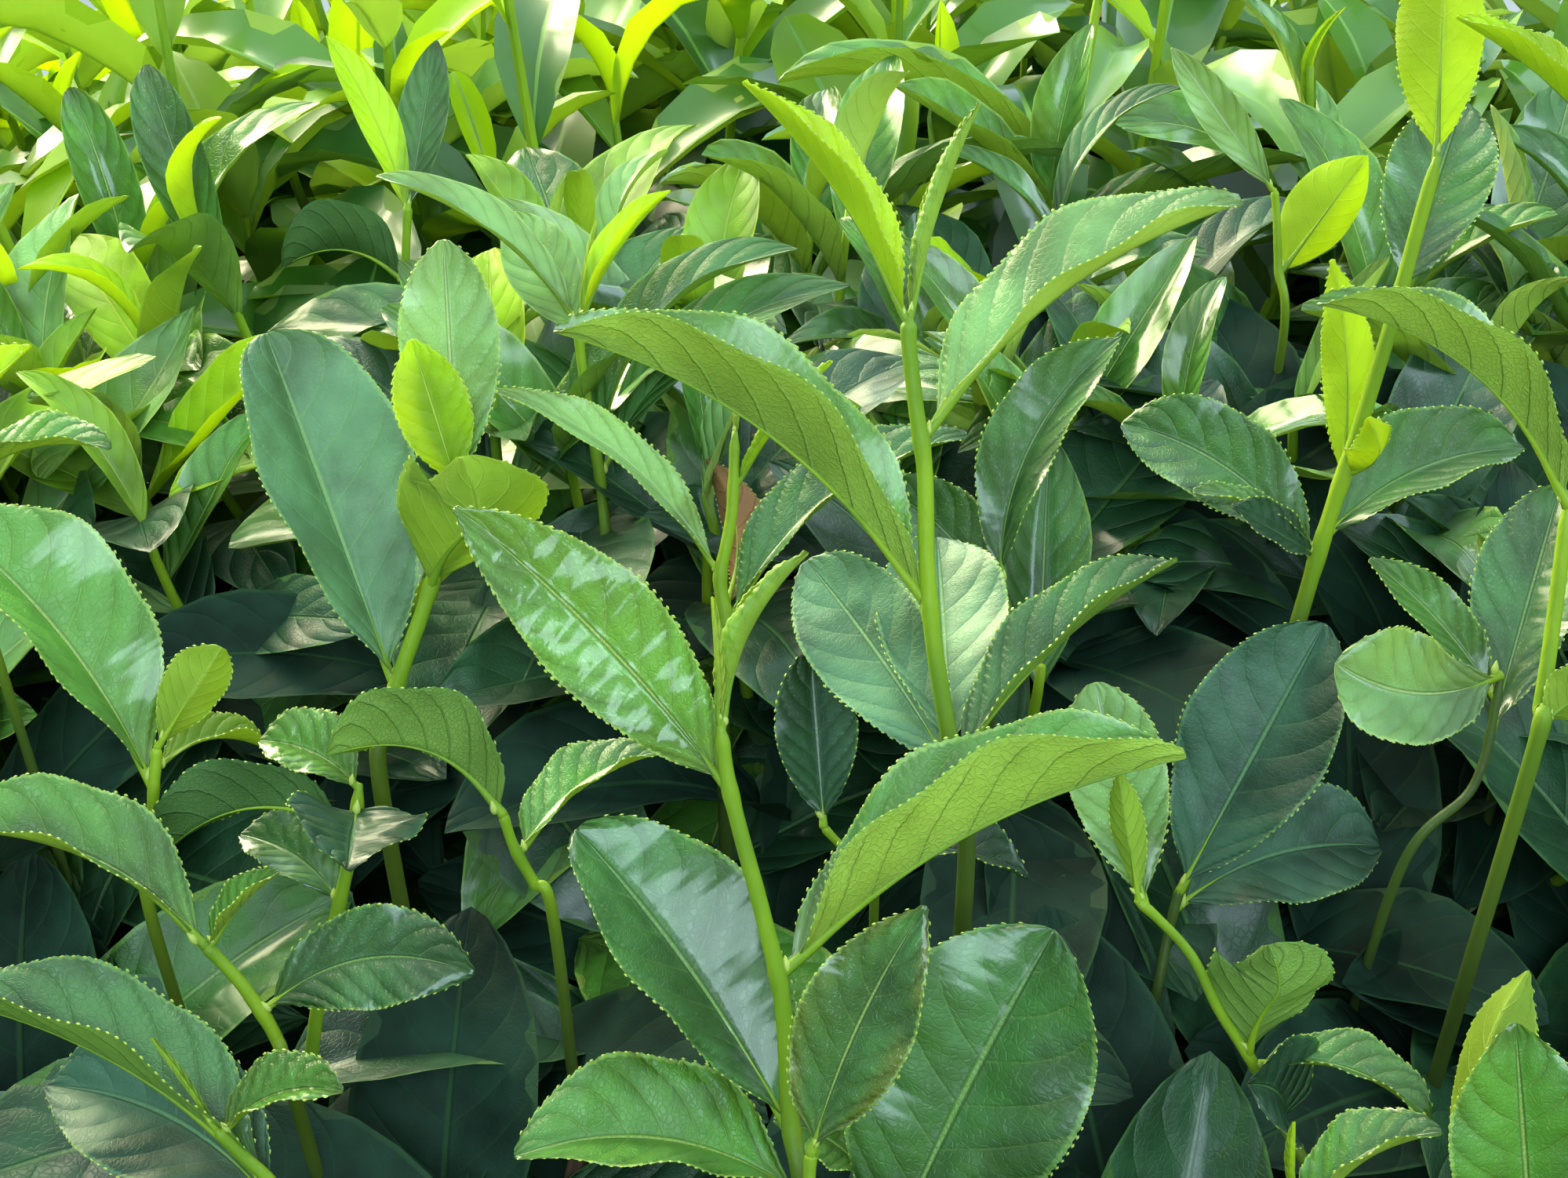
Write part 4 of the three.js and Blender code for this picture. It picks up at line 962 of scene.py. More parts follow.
HAND_SET = (
    Shoot("front", (262, 246), (3.2, 2.2), (
        (102.5, 156), (100.8, 143), (99.8, 128), (97.2, 116.5), (94.5, 106.5), (92.8, 99.5),
        (91.8, 92.5),
    ), (
        Leaf((91.8, 93), (90.8, 76), 5, 3, 80, 70, BUD),
        Leaf((91.9, 93.5), (103.1, 70.4), 3, 8, 92, 68, YOUNG, bow=0.095, sharp=1),
        Leaf((92.6, 101.5), (57.8, 64.7), 6, 15.5, 12, 12, GLOSSY, bow=0.035, sharp=1),
        Leaf((100, 124.5), (151.3, 96.6), 0, 23, 72, 48, MID, bow=0.078),
        Leaf((101.2, 145), (73.3, 105.8), -8, 24, 28, 26, MATURE, bow=0.03, sharp=0.7),
        Leaf((102, 153), (65.5, 147.6), 8, 20, 40, 30, MID, bow=0.12),
    )),
    Shoot("front_side", (250, 248), (2, 1.8), ((103.5, 160), (103.2, 151), (103.4, 147)), (
        Leaf((103.3, 147.5), (118.1, 115.5), 6, 14, 10, 12, TINTED, bow=0.04, sharp=1),
    )),
    Shoot("front_low", (268, 268), (2, 1.4), ((112, 168), (110.6, 152), (110.4, 138)), (
        Leaf((111.8, 164), (134.5, 118.6), 4, 29, 4, 10, MATURE, bow=0.02, sharp=0.7),
        Leaf((110.6, 150), (98.5, 143), 2, 13, 40, 20, MID, bow=0.1),
    )),
    Shoot("tall", (280, 266), (3.2, 2.4), (
        (123.2, 110), (121.5, 97), (119.2, 83), (118.2, 72), (117.9, 60), (116.8, 52), (115.9, 44),
        (115.9, 40.5),
    ), (
        Leaf((115.9, 41.5), (94.6, 10.4), 3, 9.5, 64, 58, BRIGHT, bow=0.053, sharp=1),
        Leaf((116.2, 41), (125, 13), 0, 6.5, 100, 66, YOUNG, bow=0.03, sharp=1),
        Leaf((117.6, 56), (158.5, 25.8), 0, 19, 62, 32, PALE, bow=0.09),
        Leaf((118.4, 77.5), (70.5, 42.2), 0, 22, 71, 53, MID, bow=0.097),
        Leaf((121.5, 97.5), (150.2, 71.5), -10, 14, 55, 35, MATURE, bow=0.06),
        Leaf((121.6, 99), (102.8, 71.5), -20, 17, 0, 10, DULL, bow=0.02, sharp=0.7),
        Leaf((121.3, 97), (119.5, 68.5), -26, 19, 0, 12, DULL, sharp=0.7),
    ), worn=(3, 4)),
    Shoot("left", (300, 292), (3.3, 2.4), (
        (48.6, 101), (49.2, 93), (51, 86), (53.5, 79), (55.2, 74), (57.5, 68), (58.5, 62),
    ), (
        Leaf((49.8, 87.5), (33.8, 42.5), -5, 27, 25, 32, DULL, sharp=0.62),
        Leaf((58.8, 63), (56.5, 30.5), -4, 14, 0, 10, PALE, sharp=0.75),
        Leaf((58.2, 62.5), (52.4, 43.2), 3, 10.5, 0, 18, BRIGHT),
        Leaf((55, 75), (65.5, 65.2), 14, 24, 148, 26, YOUNG, bow=0.1, hook=0.45, sharp=0.7),
    )),
    Shoot("behind", (330, 326), (3.2, 2), (
        (92, 86), (92.6, 80), (91.8, 74), (92.5, 70), (93.2, 66), (93.5, 62), (93.7, 55),
    ), (
        Leaf((91.8, 73.5), (62.8, 49.8), 4, 9.5, 45, 24, PALE, bow=0.095),
        Leaf((93.6, 62.5), (106.2, 46), 4, 6, 80, 60, BRIGHT, bow=0.03),
        Leaf((93.7, 56), (93.5, 50), 0, 2.4, 80, 70, BUD),
        Leaf((92.6, 80), (123.5, 55.6), -2, 16, 55, 24, MATURE, bow=0.12),
        Leaf((92.2, 78), (90, 58.5), -24, 10, 150, 30, BROWN, bow=0.1, sharp=0.9),
    )),
    Shoot("back_left", (365, 355), (2.6, 2), ((77.5, 72), (76.6, 62), (75, 52), (74, 45), (73.8, 41)), (
        Leaf((73.9, 41.5), (47.8, 22.5), 5, 11, 60, 30, PALE, bow=0.097),
        Leaf((74, 41), (76, 28), 0, 2.6, 80, 70, BUD),
        Leaf((74, 41.5), (85.5, 24.2), 2, 8, 60, 45, BRIGHT, bow=0.06),
        Leaf((73.9, 43), (65.5, 27), -8, 13, 0, 14, PALE),
        Leaf((75.8, 58), (102, 31.8), 0, 15, 60, 25, MATURE, bow=0.18),
        Leaf((76.4, 61), (108.5, 36.5), -9, 14, 40, 25, MATURE, bow=0.14),
    )),
    Shoot("far_left", (455, 445), (2.8, 2.2), ((51.8, 45), (51.6, 37), (51.8, 30), (52, 26)), (
        Leaf((51.9, 27.5), (41.5, 4.5), 4, 10, 20, 20, BRIGHT, bow=0.05),
        Leaf((52, 27), (55.7, 5), -4, 11, 10, 15, MATURE),
        Leaf((51.7, 36), (36, 34), 0, 22, 120, 30, DARK, bow=0.2),
    )),
    Shoot("right", (340, 304), (3.6, 2.6), (
        (162.5, 90), (166.5, 76), (169.5, 66), (173.5, 54), (177.5, 41), (180.5, 30), (183.3, 20),
    ), (
        Leaf((183.3, 20.5), (184.5, -9), 2, 13, 175, 14, BRIGHT, sharp=0.75),
        Leaf((178.3, 38), (186.5, 13), -10, 16, 0, 12, MATURE, sharp=0.7),
        Leaf((171, 62), (169.8, 33), 6, 8.5, 175, 18, BRIGHT, bow=0.05, sharp=1),
        Leaf((168.8, 69), (194.5, 57.2), -6, 19, 35, 24, MATURE, bow=0.1),
        Leaf((167.6, 72), (143, 54), -12, 17, 20, 16, MATURE, bow=0.1, sharp=0.7),
        Leaf((168.2, 70), (152, 62.8), 2, 6, 70, 20, MID, bow=0.1, sharp=0.65),
        Leaf((168, 71), (157, 64.5), 8, 8, 40, 20, DARK),
        Leaf((171.6, 60), (176, 54.5), 10, 9, 120, 30, BRIGHT, bow=-0.2, hook=0.2),
    )),
    Shoot("right_edge", (280, 272), (3, 2.4), ((195, 98), (196.5, 90), (198, 80), (200, 64)), (
        Leaf((200, 64.5), (167.9, 38.7), 2, 17, 88, 38, MID, bow=0.135),
        Leaf((196.3, 92), (207, 88), 4, 9, 150, 20, YOUNG, bow=0.1),
    )),
    Shoot("right_low", (290, 280), (2.2, 1.6), (
        (168, 154), (164, 144), (160, 136), (155.5, 129), (152, 122), (147.5, 117), (144.8, 114.8),
    ), (
        Leaf((144.8, 115.5), (142.6, 98.5), 2, 5.5, 175, 30, YOUNG),
        Leaf((146, 116.2), (139.5, 87), -5, 13.5, 5, 14, PALE, sharp=0.65),
        Leaf((159.2, 134.5), (167, 124.5), 12, 19, 148, 26, MATURE, bow=0.1, hook=0.35, sharp=0.75),
        Leaf((159.8, 135.5), (182.5, 143.5), 4, 11, 55, 30, MID, bow=0.14),
        Leaf((163.5, 143), (159, 138.3), 8, 17, 40, 20, DARK, bow=0.16),
    )),
    Shoot("corner", (268, 266), (2.4, 2.2), ((196, 172), (195.5, 164)), (
        Leaf((195.5, 165), (193.2, 130.3), 4, 19, 5, 14, MID),
        Leaf((196, 167), (164, 160), 0, 14, 30, 20, MATURE, bow=0.1),
        Leaf((195.6, 166), (190.8, 124), -14, 16, 150, 24, YOUNG, bow=-0.1, hook=0.1),
    )),
    Shoot("corner_bud", (262, 261), (1.8, 1.4), ((165, 162), (164.8, 152)), (
        Leaf((164.8, 153), (165, 143), 2, 3.4, 80, 60, BRIGHT),
        Leaf((164.9, 157), (184, 144.5), 2, 12, 60, 30, MID, bow=0.12),
    )),
    Shoot("left_mid", (292, 288), (2.4, 1.8), ((19, 116), (19.3, 106), (19.6, 100), (20, 95)), (
        Leaf((20, 95.5), (28.2, 82.5), 2, 9.5, 170, 30, YOUNG, sharp=0.7),
        Leaf((19.5, 100.5), (-8, 66), -3, 25, 35, 30, MID, bow=0.06, sharp=0.7),
        Leaf((19.8, 98), (35, 96), -17, 8, 60, 30, YOUNG, bow=0.15),
    )),
    Shoot("left_low", (280, 274), (2.6, 2), (
        (37, 138), (35, 132), (31.5, 126.5), (28.5, 123), (26, 120.5),
    ), (
        Leaf((26, 121), (-9, 106), 0, 18, 50, 35, MID, bow=0.12),
        Leaf((26.6, 121), (35.6, 111.2), 3, 6, 60, 45, MID, bow=0.05),
        Leaf((33.3, 129), (60.5, 124.2), 4, 13, 10, 5, MATURE, bow=0.15),
    )),
    Shoot("left_corner", (262, 256), (2.6, 1.8), ((37, 162), (35, 152), (31, 147.5), (27.5, 144)), (
        Leaf((34.8, 151.6), (-9, 127), 0, 20, 55, 40, MATURE, bow=0.08),
        Leaf((27.6, 144.1), (19.2, 132.3), 3, 2.6, 80, 70, YOUNG),
        Leaf((28.2, 144.6), (43.8, 139.3), 4, 9.5, 45, 30, GLOSSY, bow=0.13),
        Leaf((35.6, 155), (6, 138.5), -14, 22, 10, 20, DIM, bow=0.1),
    )),
    Shoot("fan", (312, 292), (3, 2.2), (
        (37.6, 160), (38.2, 148), (39.5, 136), (41, 125), (43.3, 115), (45, 107), (45.8, 100),
    ), (
        Leaf((45.4, 103), (44.2, 111), 14, 20, 0, 22, DARK, sharp=1.1),
        Leaf((45, 106), (17.5, 112.5), 6, 16, 118, 24, DARK, bow=0.22),
        Leaf((45.8, 100.5), (33, 94.5), -4, 12, 30, 24, GLOSSY, bow=0.1),
        Leaf((43.3, 115), (30.5, 106.5), -6, 12, 30, 24, MATURE, bow=0.1),
    )),
    Shoot("droop", (296, 289), (2.4, 1.8), ((70.5, 117), (68, 112.5), (65.5, 108), (64, 103.5)), (
        Leaf((64.2, 104), (41.4, 96.4), 5, 19, 118, 26, MATURE, bow=0.2, sharp=0.8),
        Leaf((66, 109), (84, 96), -8, 13, 60, 20, MID, bow=0.1),
    )),
    Shoot("low_middle", (292, 288), (1.8, 1.4), (
        (111.5, 114), (110.5, 109.5), (107.5, 108), (104.8, 105.3),
    ), (
        Leaf((104.9, 105.6), (103.3, 82.5), -3, 12, 0, 18, DARK),
        Leaf((110.6, 110), (131, 112.2), -3, 11, 50, 26, DARK, bow=0.12),
    )),
    Shoot("mid_right", (335, 330), (2.4, 1.8), ((126.5, 88), (127.3, 80), (127.6, 73.5)), (
        Leaf((127.6, 75), (143, 43), -5, 15, 25, 24, MATURE, bow=0.12),
        Leaf((127.4, 79), (112, 62), -10, 14, 10, 20, MATURE, bow=0.1),
    ), bare=False),
    Shoot("upper_right", (405, 398), (2.4, 1.8), ((163.5, 44), (163, 34), (162.8, 28), (162.5, 24)), (
        Leaf((162.5, 24.5), (149.3, 6), 2, 9, 10, 18, PALE),
        Leaf((163, 35), (174.5, 19.8), 4, 16, 165, 24, BRIGHT),
    )),
    Shoot("top_arch", (425, 420), (2.2, 1.8), ((135.5, 42), (135, 34), (134.8, 29)), (
        Leaf((134.8, 30), (151, 11), 0, 10, 55, 26, MATURE, bow=0.17),
        Leaf((134.9, 31), (120, 19), 4, 9, 60, 26, MID, bow=0.1),
    )),
    Shoot("old_right", (327, 324), (2.4, 1.8), ((147, 128), (149, 119), (150.5, 113)), (
        Leaf((150.5, 114), (169, 79.5), 6, 24, 12, 14, DIM, sharp=0.7),
        Leaf((150, 116), (176, 108), -6, 22, 20, 14, DIM, bow=0.1, sharp=0.7),
    ), bare=False),
    Shoot("sunlit", (312, 308), (2.2, 1.6), ((179, 110), (188, 100), (191.5, 86)), (
        # Its pale tone is painted sunlight: it stands for a sunlit spot on this leaf.
        Leaf((191.6, 85.5), (170.2, 84.5), 4, 18, 10, 20, PALE, bow=-0.14, sharp=0.5),
        Leaf((188, 89), (174.5, 71.3), -8, 9, 30, 24, MID, bow=0.05),
        Leaf((188, 94), (199, 62), -12, 17, 10, 16, MATURE, sharp=0.7),
    ), bare=False),
    Shoot("top_right", (300, 298), (2.4, 1.8), ((208, 34), (207, 26), (206, 19)), (
        Leaf((206, 20), (185.6, 2.2), 0, 9, 70, 50, BRIGHT, bow=0.05, sharp=1),
    )),
    Shoot("left_edge", (318, 315), (2.2, 1.6), ((-4, 72), (-5, 66), (-6, 61)), (
        Leaf((-5.8, 62), (14.2, 57.2), 2, 11, 70, 30, MID, bow=0.12),
        Leaf((-5.5, 63), (4, 44), 2, 10, 60, 30, BRIGHT, bow=0.1),
    )),
)


# The listed shoots


# Places across the upper and the lower sheet of far leaves and of close ones.
FAR = (-1, -0.85, -0.45, -0.06, 0.06, 0.45, 0.85, 1), (0.85, 0.45, 0, -0.45, -0.85)
CLOSE = (
    (-1, -0.93, -0.72, -0.42, -0.12, 0, 0.12, 0.42, 0.72, 0.93, 1),
    (0.93, 0.72, 0.42, 0.12, 0, -0.12, -0.42, -0.72, -0.93),
)

# Bulge of a blade between its veins, as a share of its width.
USUAL_RELIEF = 0.009
RELIEFS = {
    GLOSSY: 0.05,
    TINTED: 0.03,
    MATURE: 0.013,
    MID: 0.013,
    DARK: 0.01,
    PALE: 0.006,
    BUD: 0.0,
}


@dataclass
class HandSetShoot:
    """A young shoot at the front of the bush: a green stem, its leaves with toothed rims, and buds.

    Attributes:
        plan: What was read from the sheet.
        sight: Where it was read from.
        crown: The bush's outline.
        sink: How far its foot sinks into the foliage, in millimetres.
        inward: Share of the way out from the trunk's middle at which its foot stands.
        tooth_run: Length of a tooth along the rim, in millimetres.
        close: Depth up to which its leaves have teeth and relief.
        rolled: Fold from which a leaf is a rolled bud.
        bud_fold: Fold that such a leaf has instead.
        bud_curl: Angle through which each half of it curls.
        bead: Radius of the bead on a tooth, in millimetres.
        slim: Girth of the stem as a share of the source's.
    """

    plan: Shoot
    sight: Sight
    crown: Crown
    sink: float = 14.0
    inward: float = 0.97
    tooth_run: float = 1.15
    close: float = 348.0
    rolled: float = 60.0
    bud_fold: float = 2.0
    bud_curl: float = 196.0
    bead: float = 0.17
    slim: float = 0.76

    def line(self) -> Array:
        """Places that the stem passes through, with a foot that sinks into the foliage."""
        stem = np.array(self.plan.stem)
        run = np.concatenate([[0.0], np.cumsum(np.linalg.norm(np.diff(stem, axis=0), axis=1))])
        depths = between(*self.plan.depth, run / run[-1])
        points = np.array([self.sight.point(place, depth) for place, depth in zip(self.plan.stem, depths)])
        foot = points[0] * np.array([self.inward, self.inward, 1.0])
        foot[2] = min(self.crown.core_top(foot[0], foot[1]), points[0][2]) - self.sink
        return np.vstack([foot, points])

    def leaves(self) -> LeafSet:
        """The leaves as arrays, each rooted where the stem passes nearest to its root."""
        samples = spline(self.line(), np.linspace(0, 1, 91))
        across, down, depth = self.sight.sheet(samples)
        rows = []
        for order, plan in enumerate(self.plan.leaves):
            at = int(np.argmin(np.hypot(across - plan.root[0], down - plan.root[1])))
            base = samples[at]
            tip = self.sight.point(plan.tip, depth[at] - plan.near)
            chord = unit(tip - base)
            facing = np.array(self.sight.eye) - (base + tip) / 2
            facing = unit(facing - facing @ chord * chord)
            rise = np.cross(facing, chord)
            rise = rise if rise @ self.sight.upright >= 0 else -rise
            roll = math.radians(plan.roll)
            seed = len(self.plan.name) * 7 + plan.root[0]
            open_blade = plan.fold < self.rolled
            rows.append({
                "base": base,
                "tip": tip,
                "face": facing * math.cos(roll) + rise * math.sin(roll),
                "rise": rise,
                "wide": plan.wide,
                "fold": plan.fold if open_blade else self.bud_fold,
                "bow": plan.bow,
                "hook": plan.hook,
                "sharp": plan.sharp,
                "tone": plan.tone.value,
                "wave": chance(seed, order),
                "twist": 0.0,
                "curl": between(6, 22, chance(seed, order, 3)) if open_blade else self.bud_curl,
            })
        return LeafSet(**{name: np.array([row[name] for row in rows], dtype=float) for name in rows[0]})

    def form(self, leaf: LeafSet) -> BladeForm:
        """The grid for a leaf: fine and toothed for a close one, plain for a far one."""
        length = float(np.linalg.norm(leaf.tip - leaf.base))
        depth = float(self.sight.sheet(leaf.base[0])[2])
        if depth > self.close or leaf.wide[0] < 4:
            return BladeForm(30, *FAR, thick=0.4, relief=0.005, stalk=0.04)
        teeth = int(np.clip(round(length / self.tooth_run), 18, 56))
        relief = RELIEFS.get(Tone(int(leaf.tone[0])), USUAL_RELIEF)
        rim = {"teeth": teeth, "tooth": 0.4, "waves": 0.034}
        return BladeForm(teeth * 3, *CLOSE, thick=0.36, relief=relief, stalk=0.05, **rim)

    def dress(self, finishes: "LeafPalette") -> tuple[Any, LeafSet]:
        """Makes the leaves' piece, which stands for the shoot's node, and returns the leaves, too."""
        leaves = self.leaves()
        tones = sorted({int(tone) for tone in leaves.tone})
        skin = Skin()
        for i in range(len(leaves)):
            leaf = leaves.chosen(np.array([i]))
            form = self.form(leaf)
            rings, ends, flat = form.rings(leaf)
            slot = 2 * tones.index(int(leaf.tone[0]))
            skin.add(rings, ends, flat, slot + np.minimum(form.sides(), 1))
            if form.teeth:
                self.grow_beads(skin, rings[0], form, 2 * len(tones))
        materials = [material for tone in tones for material in finishes.patterned(Tone(tone))]
        piece = skin.object(f"leaves_of_{self.plan.name}", [*materials, finishes.bead()])
        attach(piece, "root")
        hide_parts(f"shoot_{self.plan.name}")
        return piece, leaves

    def grow_beads(self, skin: Skin, rings: Array, form: BladeForm, slot: int) -> None:
        """Adds the pale bead on each tooth of a leaf: an octahedron drawn out along the rim.

        Args:
            skin: Where they go.
            rings: The leaf's rings, (rows, sides, 3).
            form: Its grid.
            slot: Number of the beads' finish.
        """
        peaks = np.arange(4, form.teeth - 1) * 3 + 2
        right = len(form.upper) - 1
        for side, inner in ((0, 1), (right, right - 1)):
            rim = rings[peaks, side]
            onward = unit(rings[np.minimum(peaks + 1, form.rows - 1), side] - rings[peaks - 2, side])
            outward = unit(rim - rings[peaks, inner])
            upward = np.cross(onward, outward)
            middle = rim + outward * 0.08
            size = self.bead * between(0.75, 1.1, chance(np.arange(len(peaks)), side))[:, None]
            corners = [outward * size, upward * size, -outward * size, -upward * size]
            if np.sum(np.cross(corners[0], corners[1]) * onward) < 0:
                corners.reverse()
            ring = middle[:, None, None] + np.stack(corners, axis=1)[:, None]
            ends = (middle - onward * 2.2 * size, middle + onward * 1.6 * size)
            skin.add(ring, ends, np.full((1, 4, 2), 0.5), slot)

    def grow_stem(self, stems: Skin, leaves: LeafSet) -> Array:
        """Adds the stem, thicker at its nodes, and the leaves' stalks, midribs and axil buds.

        Args:
            stems: Where they go.
            leaves: The shoot's leaves.

        Returns:
            Places along the part of the stem that has to stay in view.
        """
        shares = np.linspace(0, 1, 64)
        line = spline(self.line(), shares)
        radius = self.slim * between(*self.plan.girth, shares) / 2
        near = np.linalg.norm(leaves.base[:, None] - line[None], axis=2)
        radius = radius * (1 + 0.15 * np.exp(-((near / 1.5) ** 2)).max(axis=0))
        radius = radius * (1 - 0.5 * ease(shares, 0.95, 1.0))
        # A stem that needn't stay in view takes the darker old finish: partly older wood, partly painted
        # shade.
        stems.add_tubes(line[None], radius[None], 12, StemSlot.GREEN if self.plan.bare else StemSlot.OLD)
        size = np.clip(0.5 + leaves.wide / 45, 0.5, 1.0)[:, None]
        self.grow_ribs(stems, leaves, size)
        self.grow_buds(stems, leaves, size, unit(line[-1] - line[-8]))
        start = int(np.argmin(np.linalg.norm(line - self.line()[1], axis=1)))
        return line[start:] if self.plan.bare else line[-2:]

    def grow_ribs(self, stems: Skin, leaves: LeafSet, size: Array) -> None:
        """Adds each leaf's stalk, by its size, (n, 1), which runs on as a midrib on its underside."""
        form = BladeForm(18, (-1, 1), ())
        along = np.concatenate([[0.0], np.linspace(0.02, 0.93, 22)])
        ribs = form.midrib(leaves, along)
        whole = np.concatenate([ribs, form.midrib(leaves, np.array([1.0]))], axis=1)
        _, upward = form.frame(leaves, whole, np.concatenate([along, [1.0]]))
        fine = np.clip(leaves.wide / 20, 0.3, 1.1)[:, None] * 0.15
        thick = fine + (0.82 * size - fine) * (1 - along[None]) ** 3.2
        ribs = ribs - upward[:, :-1] * (0.45 * thick * ease(along, 0.02, 0.1)[None])[..., None]
        stems.add_tubes(ribs, thick, 7, StemSlot.RIB)

    def grow_buds(self, stems: Skin, leaves: LeafSet, size: Array, onward: Array) -> None:
        """Adds the bud in each leaf's axil, by its size, (n, 1), along the way that the stem ends."""
        buds = leaves.base + unit(leaves.tip - leaves.base) * 1.2
        top = buds + onward * (2.2 * size)
        places = bend(buds, (buds + top) / 2, top, np.linspace(0, 1, 6))
        swell = size * np.array([0.4, 0.58, 0.6, 0.48, 0.28, 0.06])[None]
        worn = np.isin(np.arange(len(leaves)), self.plan.worn)
        stems.add_tubes(places, swell, 7, np.where(worn, StemSlot.WOOD, StemSlot.BEAD)[:, None])


class LeafPalette:
    """The leaves' finishes, each made once."""

    def __init__(self, finishes: Sequence[LeafFinish]) -> None:
        """Keeps the finishes by tone."""
        self.finishes = {finish.tone: finish for finish in finishes}

    @cache
    def patterned(self, tone: Tone) -> list[bpy.types.Material]:
        """Upper face and underside of a listed leaf."""
        return [self.finishes[tone].upper_face(), self.finishes[tone].under_face()]

    @cache
    def bead(self) -> bpy.types.Material:
        """The beads on the leaves' teeth."""
        inputs = {"Base Color": linear((196, 212, 104)), "Roughness": 0.4}
        return Shader("leaf_bead").surface(inputs, (224, 240, 110), 0.3)

    def plain(self, tones: Sequence[Tone]) -> list[bpy.types.Material]:
        """Upper faces and undersides of crown leaves, in turn."""
        return [self.finishes[tone].plain(part) for tone in tones for part in ("upper", "under")]


class Clearing:
    """Keeps what grows from hiding the listed shoots or touching them, as the eye sees them.

    Within a margin round the sheet it also keeps off a curtain, whose depth grows by slope for
    each millimetre up the sheet.
    """

    margin = 14
    slope = 0.55

    def __init__(self, sight: Sight, points: Array, spare: float = 7.0, halo: int = 3) -> None:
        """Notes the least depth of the listed shoots in each cell of a wide sheet.

        Args:
            sight: The point of sight.
            points: Places on the listed shoots.
            spare: How far behind them other leaves stay, in millimetres.
            halo: Cells round them that other leaves keep off, too.
        """
        self.sight, self.spare = sight, spare
        self.low, self.high = np.array([-60, -60]), np.array([260, 220])
        n, m = self.high - self.low
        self.depth = np.full((n, m), np.inf)
        cells, depth, inside = self.cells(points)
        np.minimum.at(self.depth, tuple(cells[inside].T), depth[inside])
        for _ in range(halo):
            padded = np.pad(self.depth, 1, constant_values=np.inf)
            self.depth = np.minimum.reduce([padded[i : i + n, j : j + m] for i in range(3) for j in range(3)])

    def cells(self, points: Array) -> tuple[Array, Array, Array]:
        """Cells of the sheet, a millimetre wide, depths, and whether each point is on it."""
        across, down, depth = self.sight.sheet(points)
        place = np.stack([across, down], axis=-1)
        inside = np.all((place >= self.low) & (place < self.high), axis=-1) & (depth > 0)
        cells = (np.where(inside[..., None], place, self.low) - self.low).astype(int)
        return cells, depth, inside

    def blocks(self, points: Array, curtain: float = 0.0) -> Array:
        """Whether any of each row's points hides or nearly touches a listed shoot.

        Args:
            points: Places on leaves or twigs, (n, p, 3).
            curtain: Depth short of which nothing may stand in view at the sheet's foot.

        Returns:
            One answer for each row.
        """
        cells, depth, inside = self.cells(points)
        least = self.depth[cells[..., 0], cells[..., 1]]
        hides = inside & (depth < least + self.spare) & np.isfinite(least)
        seen, down, _ = self.sight.view(points, self.margin)
        early = seen & (depth < curtain + self.slope * (self.sight.high - down))
        return np.any(hides | early, axis=-1)


# What grows by rule


@dataclass(frozen=True)
class SprayRule:
    """One kind of spray: a stem from inside the crown, and leaves that turn round it.

    Attributes:
        name: Its name.
        count: How many stand on the crown.
        first: Share of a step at which the first stands.
        foot: Size of the crown at which the stem starts.
        rim: Size of the crown at which it bends upwards.
        heights: Least and greatest height above the bend, in millimetres.
        girth: Diameters of the stem.
        places: Shares of the stem where the first and last leaves leave it.
        lengths: Lengths of the leaves, from the lowest.
        slenders: Their widths, as shares of their lengths.
        tilts: Their angles from the stem, in degrees.
        folds: Their folds, in degrees.
        tones: Their looks, each with the next that chance may give instead.
        curtain: Depth short of which none stands in view at the sheet's foot.
        reach: Depth past which none stands, where they only fill the front, or 0.
    """

    name: str
    count: int
    first: float
    foot: float
    rim: float
    heights: tuple[float, float]
    girth: tuple[float, float]
    places: tuple[float, float]
    lengths: tuple[float, ...]
    slenders: tuple[float, ...]
    tilts: tuple[float, ...]
    folds: tuple[float, ...]
    tones: tuple[tuple[Tone, Tone, Tone], ...]
    curtain: float
    reach: float = 0.0


@dataclass
class Spray:
    """Sprays of one kind as arrays: their stems' lines, and their leaves."""

    stems: Array
    girth: Place
    leaves: LeafSet
    owner: Array


